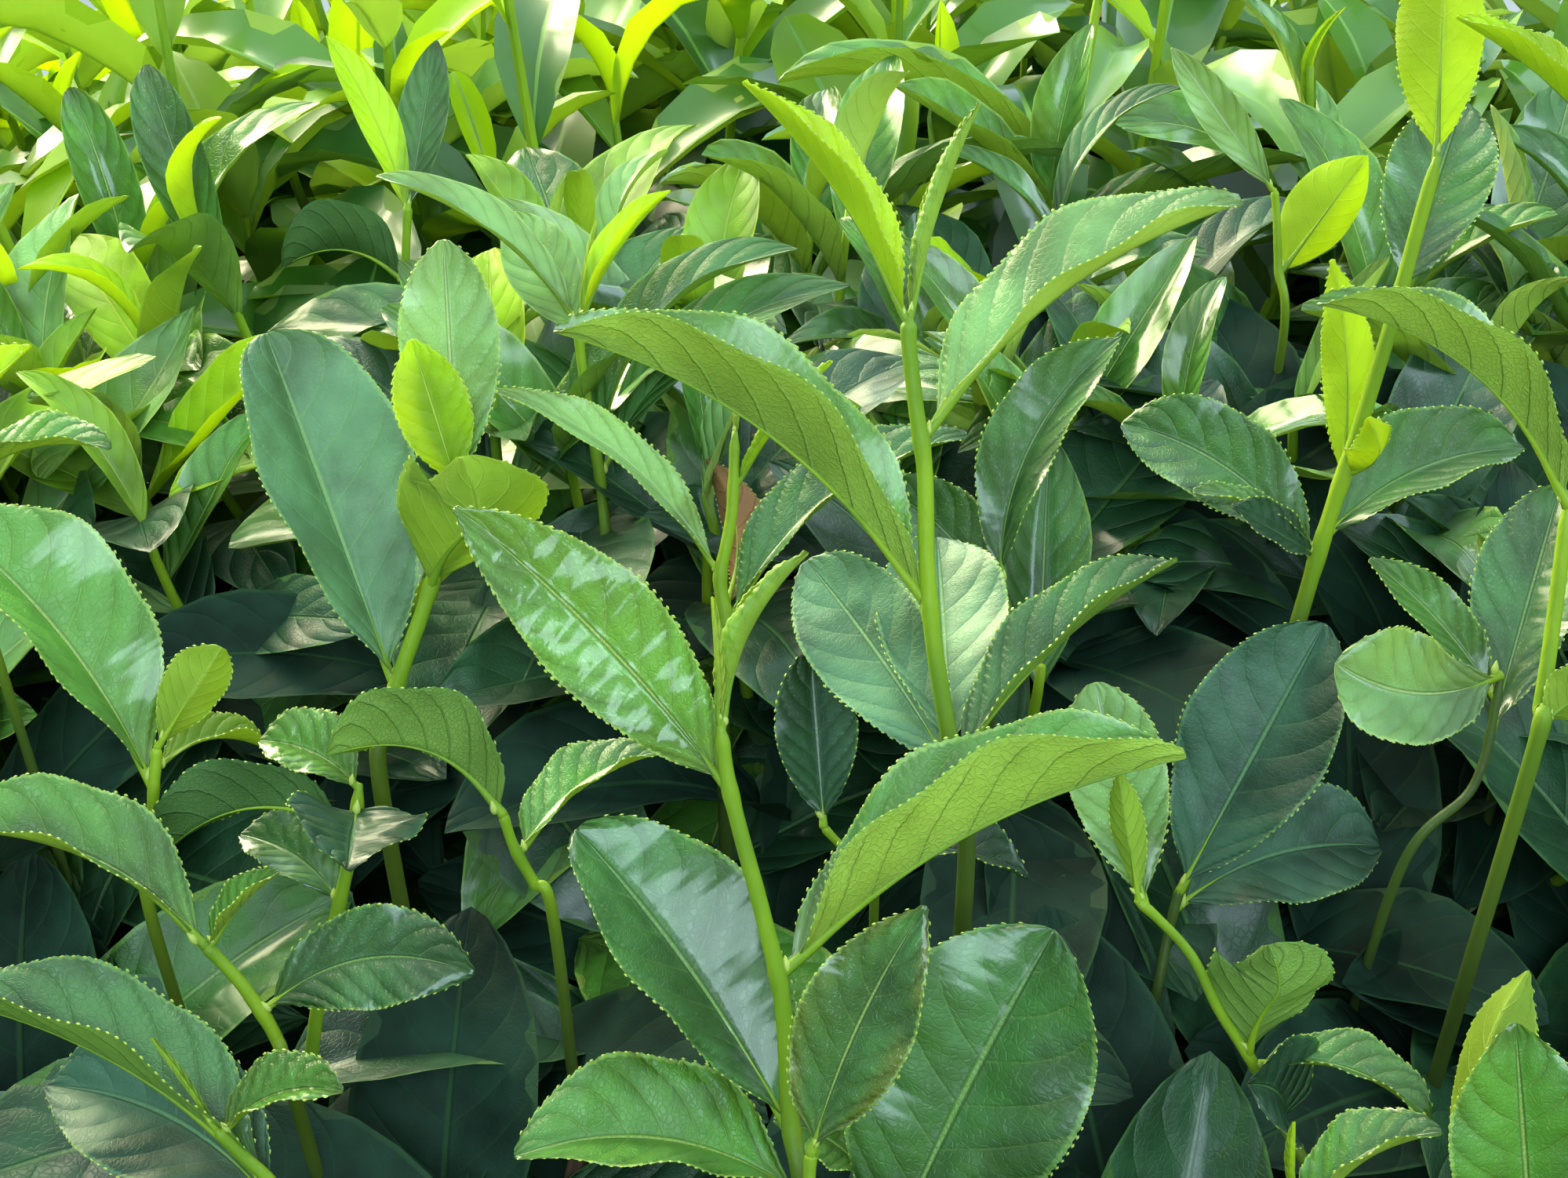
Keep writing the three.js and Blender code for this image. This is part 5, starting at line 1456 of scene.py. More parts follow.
@dataclass
class Growth:
    """Grows sprays over the crown and twigs under them.

    Attributes:
        crown: The bush's outline.
        clearing: Keeps the listed shoots in view.
        low: Lowest corner that leaves keep inside, in millimetres.
        high: Highest corner that they keep inside.
        margin: How far off the sheet sprays of the front still grow.
        fewest: Leaves without which a spray isn't grown.
        sunlit: Height from which the low sun falls fully, in millimetres.
        dead: Share of the sprays' leaves that are brown, where they are dark or mature.
        dead_deep: Share of the deep leaves that are brown.
    """

    crown: Crown
    clearing: Clearing
    low: Array
    high: Array
    margin: float = 30
    fewest: int = 4
    sunlit: float = 560
    dead: float = 0.004
    dead_deep: float = 0.006

    def inside(self, points: Array) -> Array:
        """Whether all of each row's points keep inside the box."""
        return np.all((points > self.low) & (points < self.high), axis=(-1, -2))

    def sprays(self, rule: SprayRule) -> Spray:
        """Sprays of one kind.

        Each stem runs from the crown shrunk to foot, by its place on the crown shrunk to rim,
        up along 0.6 of the crown's normal and 0.8 of the upright.
        """
        lift, turn = self.crown.lattice(rule.count, rule.first)
        index = np.arange(rule.count)
        jitter = 0.8 / math.sqrt(rule.count)
        lift = np.clip(lift + jitter * (chance(index, 21) - 0.5), 0.02, self.crown.lowest)
        turn = turn + jitter * (chance(index, 22) - 0.5) / np.sin(lift)
        normal = self.crown.normal(lift, turn)
        heading = unit(0.6 * normal + np.array([0, 0, 0.8]))
        sway = np.stack([chance(index, 23) - 0.5, chance(index, 24) - 0.5, np.zeros(rule.count)], axis=-1)
        heading = unit(heading + 0.45 * sway)
        share = chance(index, 1) * np.clip(normal[:, 2], 0.2, 1)
        height = between(*rule.heights, share)
        rim = self.crown.point(lift, turn, rule.rim)
        foot = self.crown.point(lift, turn, rule.foot)
        tip = rim + heading * height[:, None]
        shares = np.linspace(0, 1, 9)
        stems = bend(foot, rim, tip, shares)
        keep = ~self.clearing.blocks(stems[:, 3:], rule.curtain) & self.inside(stems)
        if rule.reach:
            seen, _, depth = self.clearing.sight.view(tip, self.margin)
            keep &= seen & (depth < rule.reach)
        stems, index = stems[keep], index[keep]
        leaves, owner, order = self.spiral(rule, stems, index)
        topped = np.bincount(owner, order >= len(rule.lengths) - 2, len(stems)) > 0
        full = topped & (np.bincount(owner, minlength=len(stems)) >= self.fewest)
        leaves, owner = leaves.chosen(full[owner]), (np.cumsum(full) - 1)[owner[full[owner]]]
        stems = stems[full]
        log.info("%s: %d sprays, %d leaves", rule.name, len(stems), len(leaves))
        return Spray(stems, rule.girth, leaves, owner)

    def spiral(self, rule: SprayRule, stems: Array, index: Array) -> tuple[LeafSet, Array, Array]:
        """Leaves round stems: each a golden angle on from the last, tilted from the stem.

        Args:
            rule: The sprays' rule.
            stems: The stems' lines, (n, 9, 3).
            index: The stems' numbers.

        Returns:
            The leaves, the number of each one's stem in stems, and each one's order on it.
        """
        orders = len(rule.lengths)
        order = np.tile(np.arange(orders), len(stems))
        owner = np.repeat(np.arange(len(stems)), orders)
        number = index[owner]
        place = between(*rule.places, order / max(1, orders - 1))
        along_stem = place * (stems.shape[1] - 1)
        low = np.minimum(along_stem.astype(int), stems.shape[1] - 2)
        part = (along_stem - low)[:, None]
        base = between(stems[owner, low], stems[owner, low + 1], part)
        along = unit(stems[owner, low + 1] - stems[owner, low])
        side = unit(np.cross(along, np.array([0.0, 1.0, 0.02])))
        front = np.cross(side, along)
        around = LEAF_TURN * order + 2 * math.pi * chance(number, 4) + 0.5 * chance(number, 5, order)
        around = around[:, None]
        outward = side * np.cos(around) + front * np.sin(around)

        def play(k: int, spread: float) -> Array:
            """A factor about 1 for each leaf, off it by up to spread."""
            return 1 + spread * (2 * chance(number, k, order) - 1)

        tilt = np.radians(np.array(rule.tilts)[order] * play(6, 0.22))[:, None]
        direction = along * np.cos(tilt) + outward * np.sin(tilt)
        face = unit(along - dot(along, direction) * direction)
        length = np.array(rule.lengths)[order] * play(3, 0.2)
        wide = np.array(rule.slenders)[order] * length * play(7, 0.12)
        pick = chance(number, 8, order)
        which = (pick > 0.5).astype(int) + (pick > 0.82)
        tone = np.array([[tone.value for tone in row] for row in rule.tones])[order, which]
        tone = self.lit(tone, base, chance(number, 17, order))
        brown = (chance(number, 9, order) < self.dead) & (tone <= MATURE.value)
        leaves = LeafSet(
            base=base,
            tip=base + direction * length[:, None],
            face=face,
            rise=face,
            wide=wide,
            fold=np.array(rule.folds)[order] * play(10, 0.35),
            bow=between(-0.02, 0.17, chance(number, 11, order)),
            hook=between(-0.16, 0.06, chance(number, 12, order)),
            sharp=between(0.68, 0.95, chance(number, 13, order)),
            tone=np.where(brown, BROWN.value, tone),
            wave=chance(number, 14, order),
            twist=70 * (chance(number, 15, order) - 0.5),
            curl=between(4, 34, chance(number, 16, order)) + 1.4 * np.array(rule.folds)[order] - 16,
        )
        keep = self.fits(leaves, rule.curtain)
        return leaves.chosen(keep), owner[keep], order[keep]

    def lit(self, tone: Array, place: Array, draw: Array) -> Array:
        """Tones drawn lighter on the side of the low sun, behind on the left, and darker off it.

        Args:
            tone: Tones, as numbers.
            place: Where the leaves are.
            draw: A number from 0 to 1 for each.

        Returns:
            The new tones.
        """
        x, y = place[..., 0] / self.crown.half_wide, place[..., 1] / self.crown.half_deep
        sun = ease(0.5 * (y + 0.45) - 1.2 * x, -0.1, 0.7) * ease(y, -0.7, -0.3)
        sun = sun * ease(place[..., 2], self.crown.middle, self.sunlit)
        shade = ease(0.7 * x - 0.5 * y, 0.1, 0.6)
        step = sum((draw < part * sun).astype(int) for part in (1.0, 0.7, 0.4)) - (draw > 1 - 0.9 * shade)
        return np.where(tone > BRIGHT.value, tone, np.clip(tone + step, 0, BRIGHT.value))

    def fits(self, leaves: LeafSet, curtain: float) -> Array:
        """Whether each leaf keeps inside the box and hides no listed shoot."""
        outline = BladeForm(6, (-1, 0, 1), (0,)).rings(leaves)[0].reshape(len(leaves), -1, 3)
        outline = np.concatenate([outline, leaves.tip[:, None]], axis=1)
        return self.inside(outline) & ~self.clearing.blocks(outline, curtain)

    def deep(self, count: int, size: float, length: float, first: float, curtain: float = 286) -> LeafSet:
        """Old leaves that lie on the crown shrunk to size, as the source's bed leaves do.

        Args:
            count: How many.
            size: Size of the crown that they lie on.
            length: Their length, in millimetres.
            first: Share of a step at which the first stands.
            curtain: Depth short of which none stands in view at the sheet's foot.

        Returns:
            The leaves.
        """
        lift, turn = self.crown.lattice(count, first)
        index = np.arange(count) + int(1000 * size)
        normal = self.crown.normal(lift, turn)
        level = np.stack([-np.sin(turn), np.cos(turn), np.zeros(count)], axis=-1)
        upward = np.cross(normal, level)
        around = (2 * math.pi * chance(index, 6))[:, None]
        rise = np.radians(between(2, 34, chance(index, 7)))[:, None]
        direction = (level * np.cos(around) + upward * np.sin(around)) * np.cos(rise) + normal * np.sin(rise)
        base = self.crown.point(lift, turn, size - 0.02 * chance(index, 9))
        face = unit(normal - dot(normal, direction) * direction)
        long = length * between(0.85, 1.15, chance(index, 8))
        tone = np.where(chance(index, 16) < 0.7, DARK.value, MATURE.value)
        tone = self.lit(tone, base, chance(index, 19))
        # Dark leaves of the inner layer take the painted-shade tone, which stands for the shade inside the
        # crown.
        tone = np.where((tone == DARK.value) & (size < 0.8), DEEP.value, tone)
        leaves = LeafSet(
            base=base,
            tip=base + direction * long[:, None],
            face=face,
            rise=face,
            wide=0.46 * long,
            fold=between(4, 20, chance(index, 10)),
            bow=between(0.0, 0.14, chance(index, 11)),
            hook=np.zeros(count),
            sharp=np.full(count, 0.78),
            tone=np.where(chance(index, 17) < self.dead_deep, BROWN.value, tone),
            wave=chance(index, 14),
            twist=40 * (chance(index, 15) - 0.5),
            curl=between(2, 26, chance(index, 18)),
        )
        return leaves.chosen(self.fits(leaves, curtain))


# Trunk, boughs and twigs


@dataclass
class Limbs:
    """The short trunk with its knuckled head, and a bough for each mass, as in the source.

    Attributes:
        crown: The bush's outline.
        height: Height of the trunk, in millimetres.
        foot: Radius at the ground.
        neck: Radius at its slimmest.
        head: Radius where the boughs leave.
        lean: How far it leans to the right.
        lean_forward: How far it leans to the front.
        base: Radius of a bough where it starts.
        tip: Radius where it enters its mass.
        sway: How far a bough strays from its line.
    """

    crown: Crown
    height: float = 130
    foot: float = 56
    neck: float = 36
    head: float = 47
    lean: float = 12
    lean_forward: float = 5
    base: float = 14
    tip: float = 8
    sway: float = 14

    def centre(self, s: Any) -> Array:
        """Middle of the trunk at a share of its height."""
        s = np.asarray(s, dtype=float)
        return np.stack([self.lean * s * s, -self.lean_forward * s, self.height * s], axis=-1)

    def trunk(self, skin: Skin) -> None:
        """Adds the trunk: the source's radius, with ridges and knots 1 to 3 mm proud."""
        sides, rows = 96, 64
        s = np.linspace(0, 1, rows)[:, None]
        turn = np.arange(sides)[None] * (2 * math.pi / sides)
        flare = (self.foot - self.neck) * (1 - s) ** 3
        head = (self.head - self.neck) * ease(s, 0.45, 0.8)
        shoulder = 1 - 0.35 * ease(s, 0.88, 1)
        lobes = 0.2 * (1 - s) ** 2 * np.cos(5 * turn + 0.6)
        knuckles = 0.07 * s * np.sin(3 * turn + 9 * s) + 0.05 * s * np.cos(7 * turn - 5 * s)
        radius = (self.neck + flare + head) * shoulder * (1 + lobes + knuckles)
        ridges = np.sin(13 * turn + 2.2 * np.sin(7 * s)) + 0.6 * np.sin(23 * turn - 3 * np.sin(11 * s + 1))
        knots = np.sin(5 * turn + 17 * s) * np.sin(4 * turn - 23 * s + 1)
        radius = radius + 0.7 * ridges + 1.6 * np.clip(knots, 0, 1) ** 2
        centre = self.centre(s[:, 0])
        around = np.stack([np.cos(turn), np.sin(turn), np.zeros_like(turn)], axis=-1)
        rings = centre[:, None] + around * radius[..., None]
        flat = np.stack(np.meshgrid(turn[0] / (2 * math.pi), s[:, 0]), axis=-1)
        ends = (self.centre(0.0)[None], self.centre(1.0)[None])
        skin.add(rings[None], ends, flat, 0)

    def bough_points(self, index: int) -> Array:
        """The four places that a bough passes through, from inside the trunk's head."""
        if index < 0:
            start = self.centre(0.85)
            low = np.array([start[0] - self.sway, start[1], 235])
            high = np.array([self.sway, -self.sway, 350])
            return np.array([start, low, high, [0, 0, 462]])
        turn = math.radians(-90 + 45 * index) + 0.12 * (float(chance(index, 1)) - 0.5)
        outward = np.array([math.cos(turn), math.sin(turn), 0])
        start = self.centre(0.6 if index % 2 == 0 else 0.78) + outward * 0.5 * self.head
        end = self.crown.point(math.radians(70), turn, 0.54)
        sideways = np.array([-outward[1], outward[0], 0])
        bends = [
            between(start, end, share)
            + sideways * self.sway * (float(chance(index, 2 + k)) - 0.5)
            + outward * self.sway * (1 - share)
            for k, share in enumerate((0.3, 0.65))
        ]
        return np.array([start, *bends, end])

    def bough(self, index: int) -> Array:
        """Middle line of a bough, (120, 3)."""
        return spline(self.bough_points(index), np.linspace(0, 1, 120))

    def boughs(self, skin: Skin) -> None:
        """Adds the boughs: tapering tubes with knots and ridges, and a tip that runs on."""
        sides, head = 20, 0.83
        turn = np.arange(sides) * (2 * math.pi / sides)
        for index in range(-1, self.crown.sectors):
            line = self.bough(index)
            onward = line[-1] + unit(line[-1] - line[-4]) * np.linspace(2, 66, 24)[:, None]
            line = np.vstack([line, onward])
            s = np.linspace(0, 1, len(line))[:, None]
            onward = self.tip * (1 - 2.6 * (s - head))
            taper = np.where(s < head, between(self.base, self.tip, s / head), onward)
            ridges = 0.045 * np.sin(5 * turn + 9 * s + index) + 0.03 * np.sin(9 * turn - 14 * s)
            knots = np.sin(31 * s + 2 * index) * np.sin(2 * turn + 3 * index + 8 * s)
            knots = 0.13 * np.clip(knots, 0, 1) ** 2
            skin.add_tubes(line[None], (taper * (1 + ridges + knots))[None], sides)

    def dress(self, bark: bpy.types.Material) -> None:
        """Makes the piece that stands for trunk and boughs."""
        skin = Skin()
        self.trunk(skin)
        self.boughs(skin)
        piece = skin.object("bark_of_limbs", [bark], crease=60)
        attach(piece, "root")
        boughs = [f"bough_{number}" for number in range(1, self.crown.sectors + 1)]
        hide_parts("trunk", "bough_centre", *boughs)


def branches(lines: Array, at: Array, ends: Array, pull: float, rows: int) -> Array:
    """Lines that leave other lines in their own direction and bend over to their ends.

    Args:
        lines: The lines that they leave, one each, (n, p, 3).
        at: Number of the point where each one leaves its line.
        ends: Where they end, (n, 3).
        pull: How far they keep the direction, as a share of their reach.
        rows: Places along each.

    Returns:
        Their places, (n, rows, 3).
    """
    each = np.arange(len(ends))
    start = lines[each, at]
    along = unit(lines[each, at + 1] - start)
    reach = np.linalg.norm(ends - start, axis=1, keepdims=True)
    return bend(start, start + along * pull * reach, ends, np.linspace(0, 1, rows))


@dataclass
class Twigs:
    """Woody twigs that fork twice between the boughs and the sprays' feet.

    Attributes:
        limbs: The boughs that they grow on.
        crown: The bush's outline.
        forks: How many first forks there are.
        size: Size of the crown at which a first fork ends.
        fork_girth: Radii of a first fork.
        twig_girth: Radii of a twig.
    """

    limbs: Limbs
    crown: Crown
    forks: int = 110
    size: float = 0.76
    fork_girth: Place = (5.5, 2.8)
    twig_girth: Place = (2.4, 1.5)

    def fork_lines(self) -> Array:
        """Lines of the first forks: each leaves its bough in its direction and ends on a lattice."""
        lift, turn = self.crown.lattice(self.forks, 0.3)
        ends = self.crown.point(lift, turn, self.size)
        lines = np.array([self.limbs.bough(index) for index in range(-1, self.crown.sectors)])
        at = between(46, 118, chance(np.arange(self.forks), 31)).astype(int)
        return branches(lines[self.crown.sector(ends) + 1], at, ends, 0.42, 12)

    def twig_lines(self, feet: Array, forks: Array) -> Array:
        """Lines of the twigs: each leaves the fork whose tip is nearest to its foot."""
        nearest = np.argmin(np.linalg.norm(feet[:, None] - forks[None, :, -1], axis=2), axis=1)
        at = between(6, 10.99, chance(np.arange(len(feet)), 32)).astype(int)
        return branches(forks[nearest], at, feet, 0.4, 5)

    def dress(self, feet: Array, wood: bpy.types.Material) -> None:
        """Makes the twigs' piece, up to the feet of the sprays' stems."""
        skin = Skin()
        forks = self.fork_lines()
        twigs = self.twig_lines(feet, forks)
        for lines, girth, sides in ((forks, self.fork_girth, 9), (twigs, self.twig_girth, 4)):
            skin.add_tubes(lines, between(*girth, np.linspace(0, 1, lines.shape[1])), sides)
        piece = skin.object("woody_twigs", [wood])
        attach(piece, "root")


# The whole bush


CROWN_TONES = (DEEP, DARK, MATURE, MID, PALE, YOUNG, BRIGHT, BROWN)

# Places across the upper and the lower sheet of the crown's leaves.
FINE = (-1, -0.5, -0.055, 0.055, 0.5, 1), (0.5, 0, -0.5)
MIDDLE = (-1, -0.55, -0.055, 0.055, 0.55, 1), (0.55, 0, -0.55)
NEAR = (-1, -0.75, -0.35, 0, 0.35, 0.75, 1), (0.75, 0.35, 0, -0.35, -0.75)


def mass_label(sector: int) -> str:
    """End of a mass's name in the model."""
    return "centre" if sector < 0 else str(sector + 1)


@dataclass
class Foliage:
    """The crown's leaves, in a piece for each mass, and the green stems that carry them.

    Attributes:
        growth: What grows.
        palette: Finishes of the leaves.
        fine: Grid of a spray's leaf.
        spare: Grid of a spray's leaf out of view of the point of sight.
        coarse: Grid of a deep leaf.
        middle: Grid of a leaf that stands some way from the point of sight.
        near: Grid of a leaf that stands close to it.
        margin: How far off the sheet leaves count as in view.
        near_depth: Depth up to which one stands close.
        middle_depth: Depth up to which the middle grid is used.
        shade: Place down the sheet from which close leaves lie in the shade.
    """

    growth: Growth
    palette: LeafPalette
    fine: BladeForm = BladeForm(4, *FINE, rib=0.055, thick=0.5)
    spare: BladeForm = BladeForm(3, *FINE, rib=0.055, thick=0.5)
    coarse: BladeForm = BladeForm(3, (-1, -0.05, 0.05, 1), (0.0,), rib=0.05, thick=0.7)
    middle: BladeForm = BladeForm(7, *MIDDLE, rib=0.055, thick=0.4)
    near: BladeForm = BladeForm(12, *NEAR, thick=0.4)
    margin: float = 24
    near_depth: float = 460.0
    middle_depth: float = 760.0
    shade: float = 66.0

    def within(self, points: Array, limit: float) -> Array:
        """Whether places stand in view of the point of sight and within a depth."""
        seen, _, depth = self.growth.clearing.sight.view(points, self.margin)
        return seen & (depth < limit)

    def dress_close(self, groups: Sequence[tuple[LeafSet, Array]]) -> None:
        """Makes the pieces of the leaves that stand close to the point of sight.

        The lower ones lie in the shade of the listed shoots, and are a tone darker than drawn.

        Args:
            groups: Those leaves, and the number of each one's mass.
        """
        materials = [material for tone in Tone for material in self.palette.patterned(tone)]
        sides = np.minimum(self.near.sides(), 1)
        for sector in (-1, 0, 1, self.growth.crown.sectors - 1):
            skin = Skin()
            for leaves, where in groups:
                chosen = leaves.chosen(where == sector)
                _, down, _ = self.growth.clearing.sight.sheet(chosen.base)
                shaded = (chosen.tone <= BRIGHT.value) & (down > self.shade)
                tone = np.where(shaded, chosen.tone - 1, chosen.tone)
                # Leaves shaded past the darkest tone take the painted-shade tone.
                tone = np.where(tone < 0, DEEP.value, tone).astype(int)
                skin.add(*self.near.rings(chosen), 2 * tone[:, None] + sides[None])
            if skin.count == 0:
                continue
            piece = skin.object(f"close_leaves_of_mass_{mass_label(sector)}", materials)
            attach(piece, "root")

    def dress(self, sprays: Sequence[Spray], deep: Sequence[LeafSet]) -> None:
        """Makes a piece of leaves for each mass."""
        crown = self.growth.crown
        materials = self.palette.plain(CROWN_TONES) + [crown_rib()]
        number = np.zeros(len(Tone), dtype=int)
        number[[tone.value for tone in CROWN_TONES]] = np.arange(len(CROWN_TONES))
        groups = [(spray.leaves, spray.stems[spray.owner, 4], self.fine, self.spare) for spray in sprays]
        groups += [(leaves, leaves.base, self.coarse, self.coarse) for leaves in deep]
        split, close = [], []
        for leaves, stand, form, spare in groups:
            where = crown.sector(stand)
            place = between(leaves.base, leaves.tip, 0.5)
            limits = (self.near_depth, self.middle_depth, math.inf)
            near, middle, seen = (self.within(place, limit) for limit in limits)
            close.append((leaves.chosen(near), where[near]))
            for keep, grid in ((middle & ~near, self.middle), (seen & ~middle, form), (~seen, spare)):
                split.append((leaves.chosen(keep), where[keep], grid))
        self.dress_close(close)
        for sector in range(-1, crown.sectors):
            skin = Skin()
            for leaves, where, form in split:
                chosen = leaves.chosen(where == sector)
                sides = form.sides()
                slots = 2 * number[chosen.tone.astype(int)][:, None] + np.minimum(sides, 1)[None]
                skin.add(*form.rings(chosen), np.where(sides[None] == 2, len(materials) - 1, slots))
            piece = skin.object(f"leaves_of_mass_{mass_label(sector)}", materials)
            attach(piece, "root")
            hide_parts(f"mass_{mass_label(sector)}")

    def dress_stems(self, sprays: Sequence[Spray], stem: bpy.types.Material) -> None:
        """Makes the piece of the sprays' green stems."""
        skin = Skin()
        for spray in sprays:
            close = self.within(spray.stems[:, -1], self.middle_depth)
            for lines, sides in ((spray.stems[close], 7), (spray.stems[~close, ::2], 4)):
                skin.add_tubes(lines, between(*spray.girth, np.linspace(0, 1, lines.shape[1])) / 2, sides)
        piece = skin.object("green_stems", [stem])
        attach(piece, "root")


def crown_rib() -> bpy.types.Material:
    """The pale midrib of the crown's leaves."""
    shader = Shader("crown_leaf_rib")
    return shader.surface({"Base Color": linear((112, 158, 74)), "Roughness": 0.45}, (170, 210, 80), 0.2)


OLD_SPRAY = SprayRule(
    name="old_spray", count=560, first=0.5, foot=0.76, rim=0.93, heights=(18, 46), girth=(2.8, 1.8),
    places=(0.35, 0.98),
    lengths=(66, 66, 64, 62, 58, 56, 50, 42, 32),
    slenders=(0.42, 0.42, 0.42, 0.42, 0.42, 0.41, 0.4, 0.38, 0.34),
    tilts=(84, 80, 76, 72, 66, 60, 52, 42, 28),
    folds=(8, 9, 10, 11, 12, 14, 16, 18, 22),
    tones=(
        (DARK, DARK, MATURE), (DARK, MATURE, DARK), (MATURE, DARK, MATURE), (MATURE, DARK, MID),
        (MATURE, MATURE, MID), (MATURE, MID, MATURE), (MID, MATURE, PALE), (MID, MATURE, PALE),
        (MID, PALE, YOUNG),
    ),
    curtain=285,
)

FRONT_SPRAY = SprayRule(
    name="front_spray", count=1500, first=0.2, foot=0.8, rim=0.95, heights=(10, 40), girth=(2.6, 1.6),
    places=(0.4, 0.98),
    lengths=(58, 56, 54, 50, 44, 38, 30),
    slenders=(0.44, 0.43, 0.42, 0.42, 0.4, 0.38, 0.34),
    tilts=(82, 76, 70, 62, 52, 42, 26),
    folds=(8, 9, 10, 11, 14, 18, 24),
    tones=(
        (DARK, MATURE, DARK), (DARK, MATURE, MATURE), (MATURE, DARK, MATURE), (MATURE, MATURE, MID),
        (MATURE, MID, PALE), (MID, MATURE, PALE), (MID, PALE, YOUNG),
    ),
    curtain=285,
    reach=430,
)

YOUNG_SHOOT = SprayRule(
    name="young_shoot", count=430, first=0.9, foot=0.87, rim=1.0, heights=(45, 105), girth=(3.0, 1.8),
    places=(0.45, 0.99),
    lengths=(62, 58, 52, 44, 34, 26, 20),
    slenders=(0.41, 0.4, 0.38, 0.34, 0.27, 0.2, 0.14),
    tilts=(74, 66, 56, 44, 28, 15, 6),
    folds=(12, 14, 17, 22, 34, 48, 62),
    tones=(
        (MATURE, MID, MATURE), (MATURE, MID, PALE), (MID, PALE, YOUNG), (MID, YOUNG, PALE),
        (YOUNG, BRIGHT, MID), (BRIGHT, YOUNG, BRIGHT), (YOUNG, BRIGHT, YOUNG),
    ),
    curtain=345,
)

FINISHES = (
    # The painted-shade tone: a darker green that stands for the shade inside the crown.
    LeafFinish(DEEP, (23, 47, 36), (40, 70, 44), (42, 74, 46), (110, 150, 80),
               0.06, 0.6, 0.0, 0.4, gloss=0.15),
    LeafFinish(DARK, (32, 70, 42), (76, 112, 56), (72, 116, 62), (140, 180, 96),
               0.14, 0.42, 0.4, 0.7, 0.18),
    LeafFinish(MATURE, (56, 106, 46), (118, 152, 68), (118, 164, 80), (174, 208, 96),
               0.22, 0.38, 0.9, 1.0, 0.15),
    LeafFinish(MID, (72, 130, 44), (158, 186, 76), (162, 200, 96), (194, 220, 98),
               0.27, 0.34, 1.0, 1.0, 0.15),
    LeafFinish(PALE, (120, 166, 98), (166, 192, 104), (184, 214, 128), (204, 228, 128),
               0.34, 0.34, 0.9, 0.7, 0.2),
    LeafFinish(YOUNG, (118, 158, 38), (142, 174, 52), (180, 206, 84), (196, 220, 84),
               0.3, 0.4, 0.2, 0.35),
    LeafFinish(BRIGHT, (152, 194, 20), (176, 204, 36), (198, 220, 72), (220, 238, 60),
               0.44, 0.42, 0.1, 0.3),
    LeafFinish(GLOSSY, (88, 142, 52), (156, 180, 76), (172, 204, 100), (190, 220, 98),
               0.3, 0.2, 1.0, 1.2, 0.14),
    LeafFinish(TINTED, (66, 116, 54), (144, 170, 76), (160, 194, 100), (180, 210, 96),
               0.26, 0.2, 1.0, 1.0, 0.14, blush=(128, 120, 30)),
    LeafFinish(DULL, (82, 126, 90), (134, 168, 100), (140, 182, 120), (180, 210, 112),
               0.24, 0.48, 0.25, 0.5),
    LeafFinish(DIM, (52, 88, 66), (90, 124, 76), (96, 140, 96), (140, 180, 96),
               0.14, 0.5, 0.15, 0.6),
    LeafFinish(BUD, (160, 186, 56), (174, 194, 74), (190, 208, 100), (210, 230, 92),
               0.38, 0.45, 0.1, 0.3),
    LeafFinish(BROWN, (116, 78, 48), (136, 98, 62), (146, 110, 70), (160, 90, 30),
               0.1, 0.7, 0.05, 0.5),
)


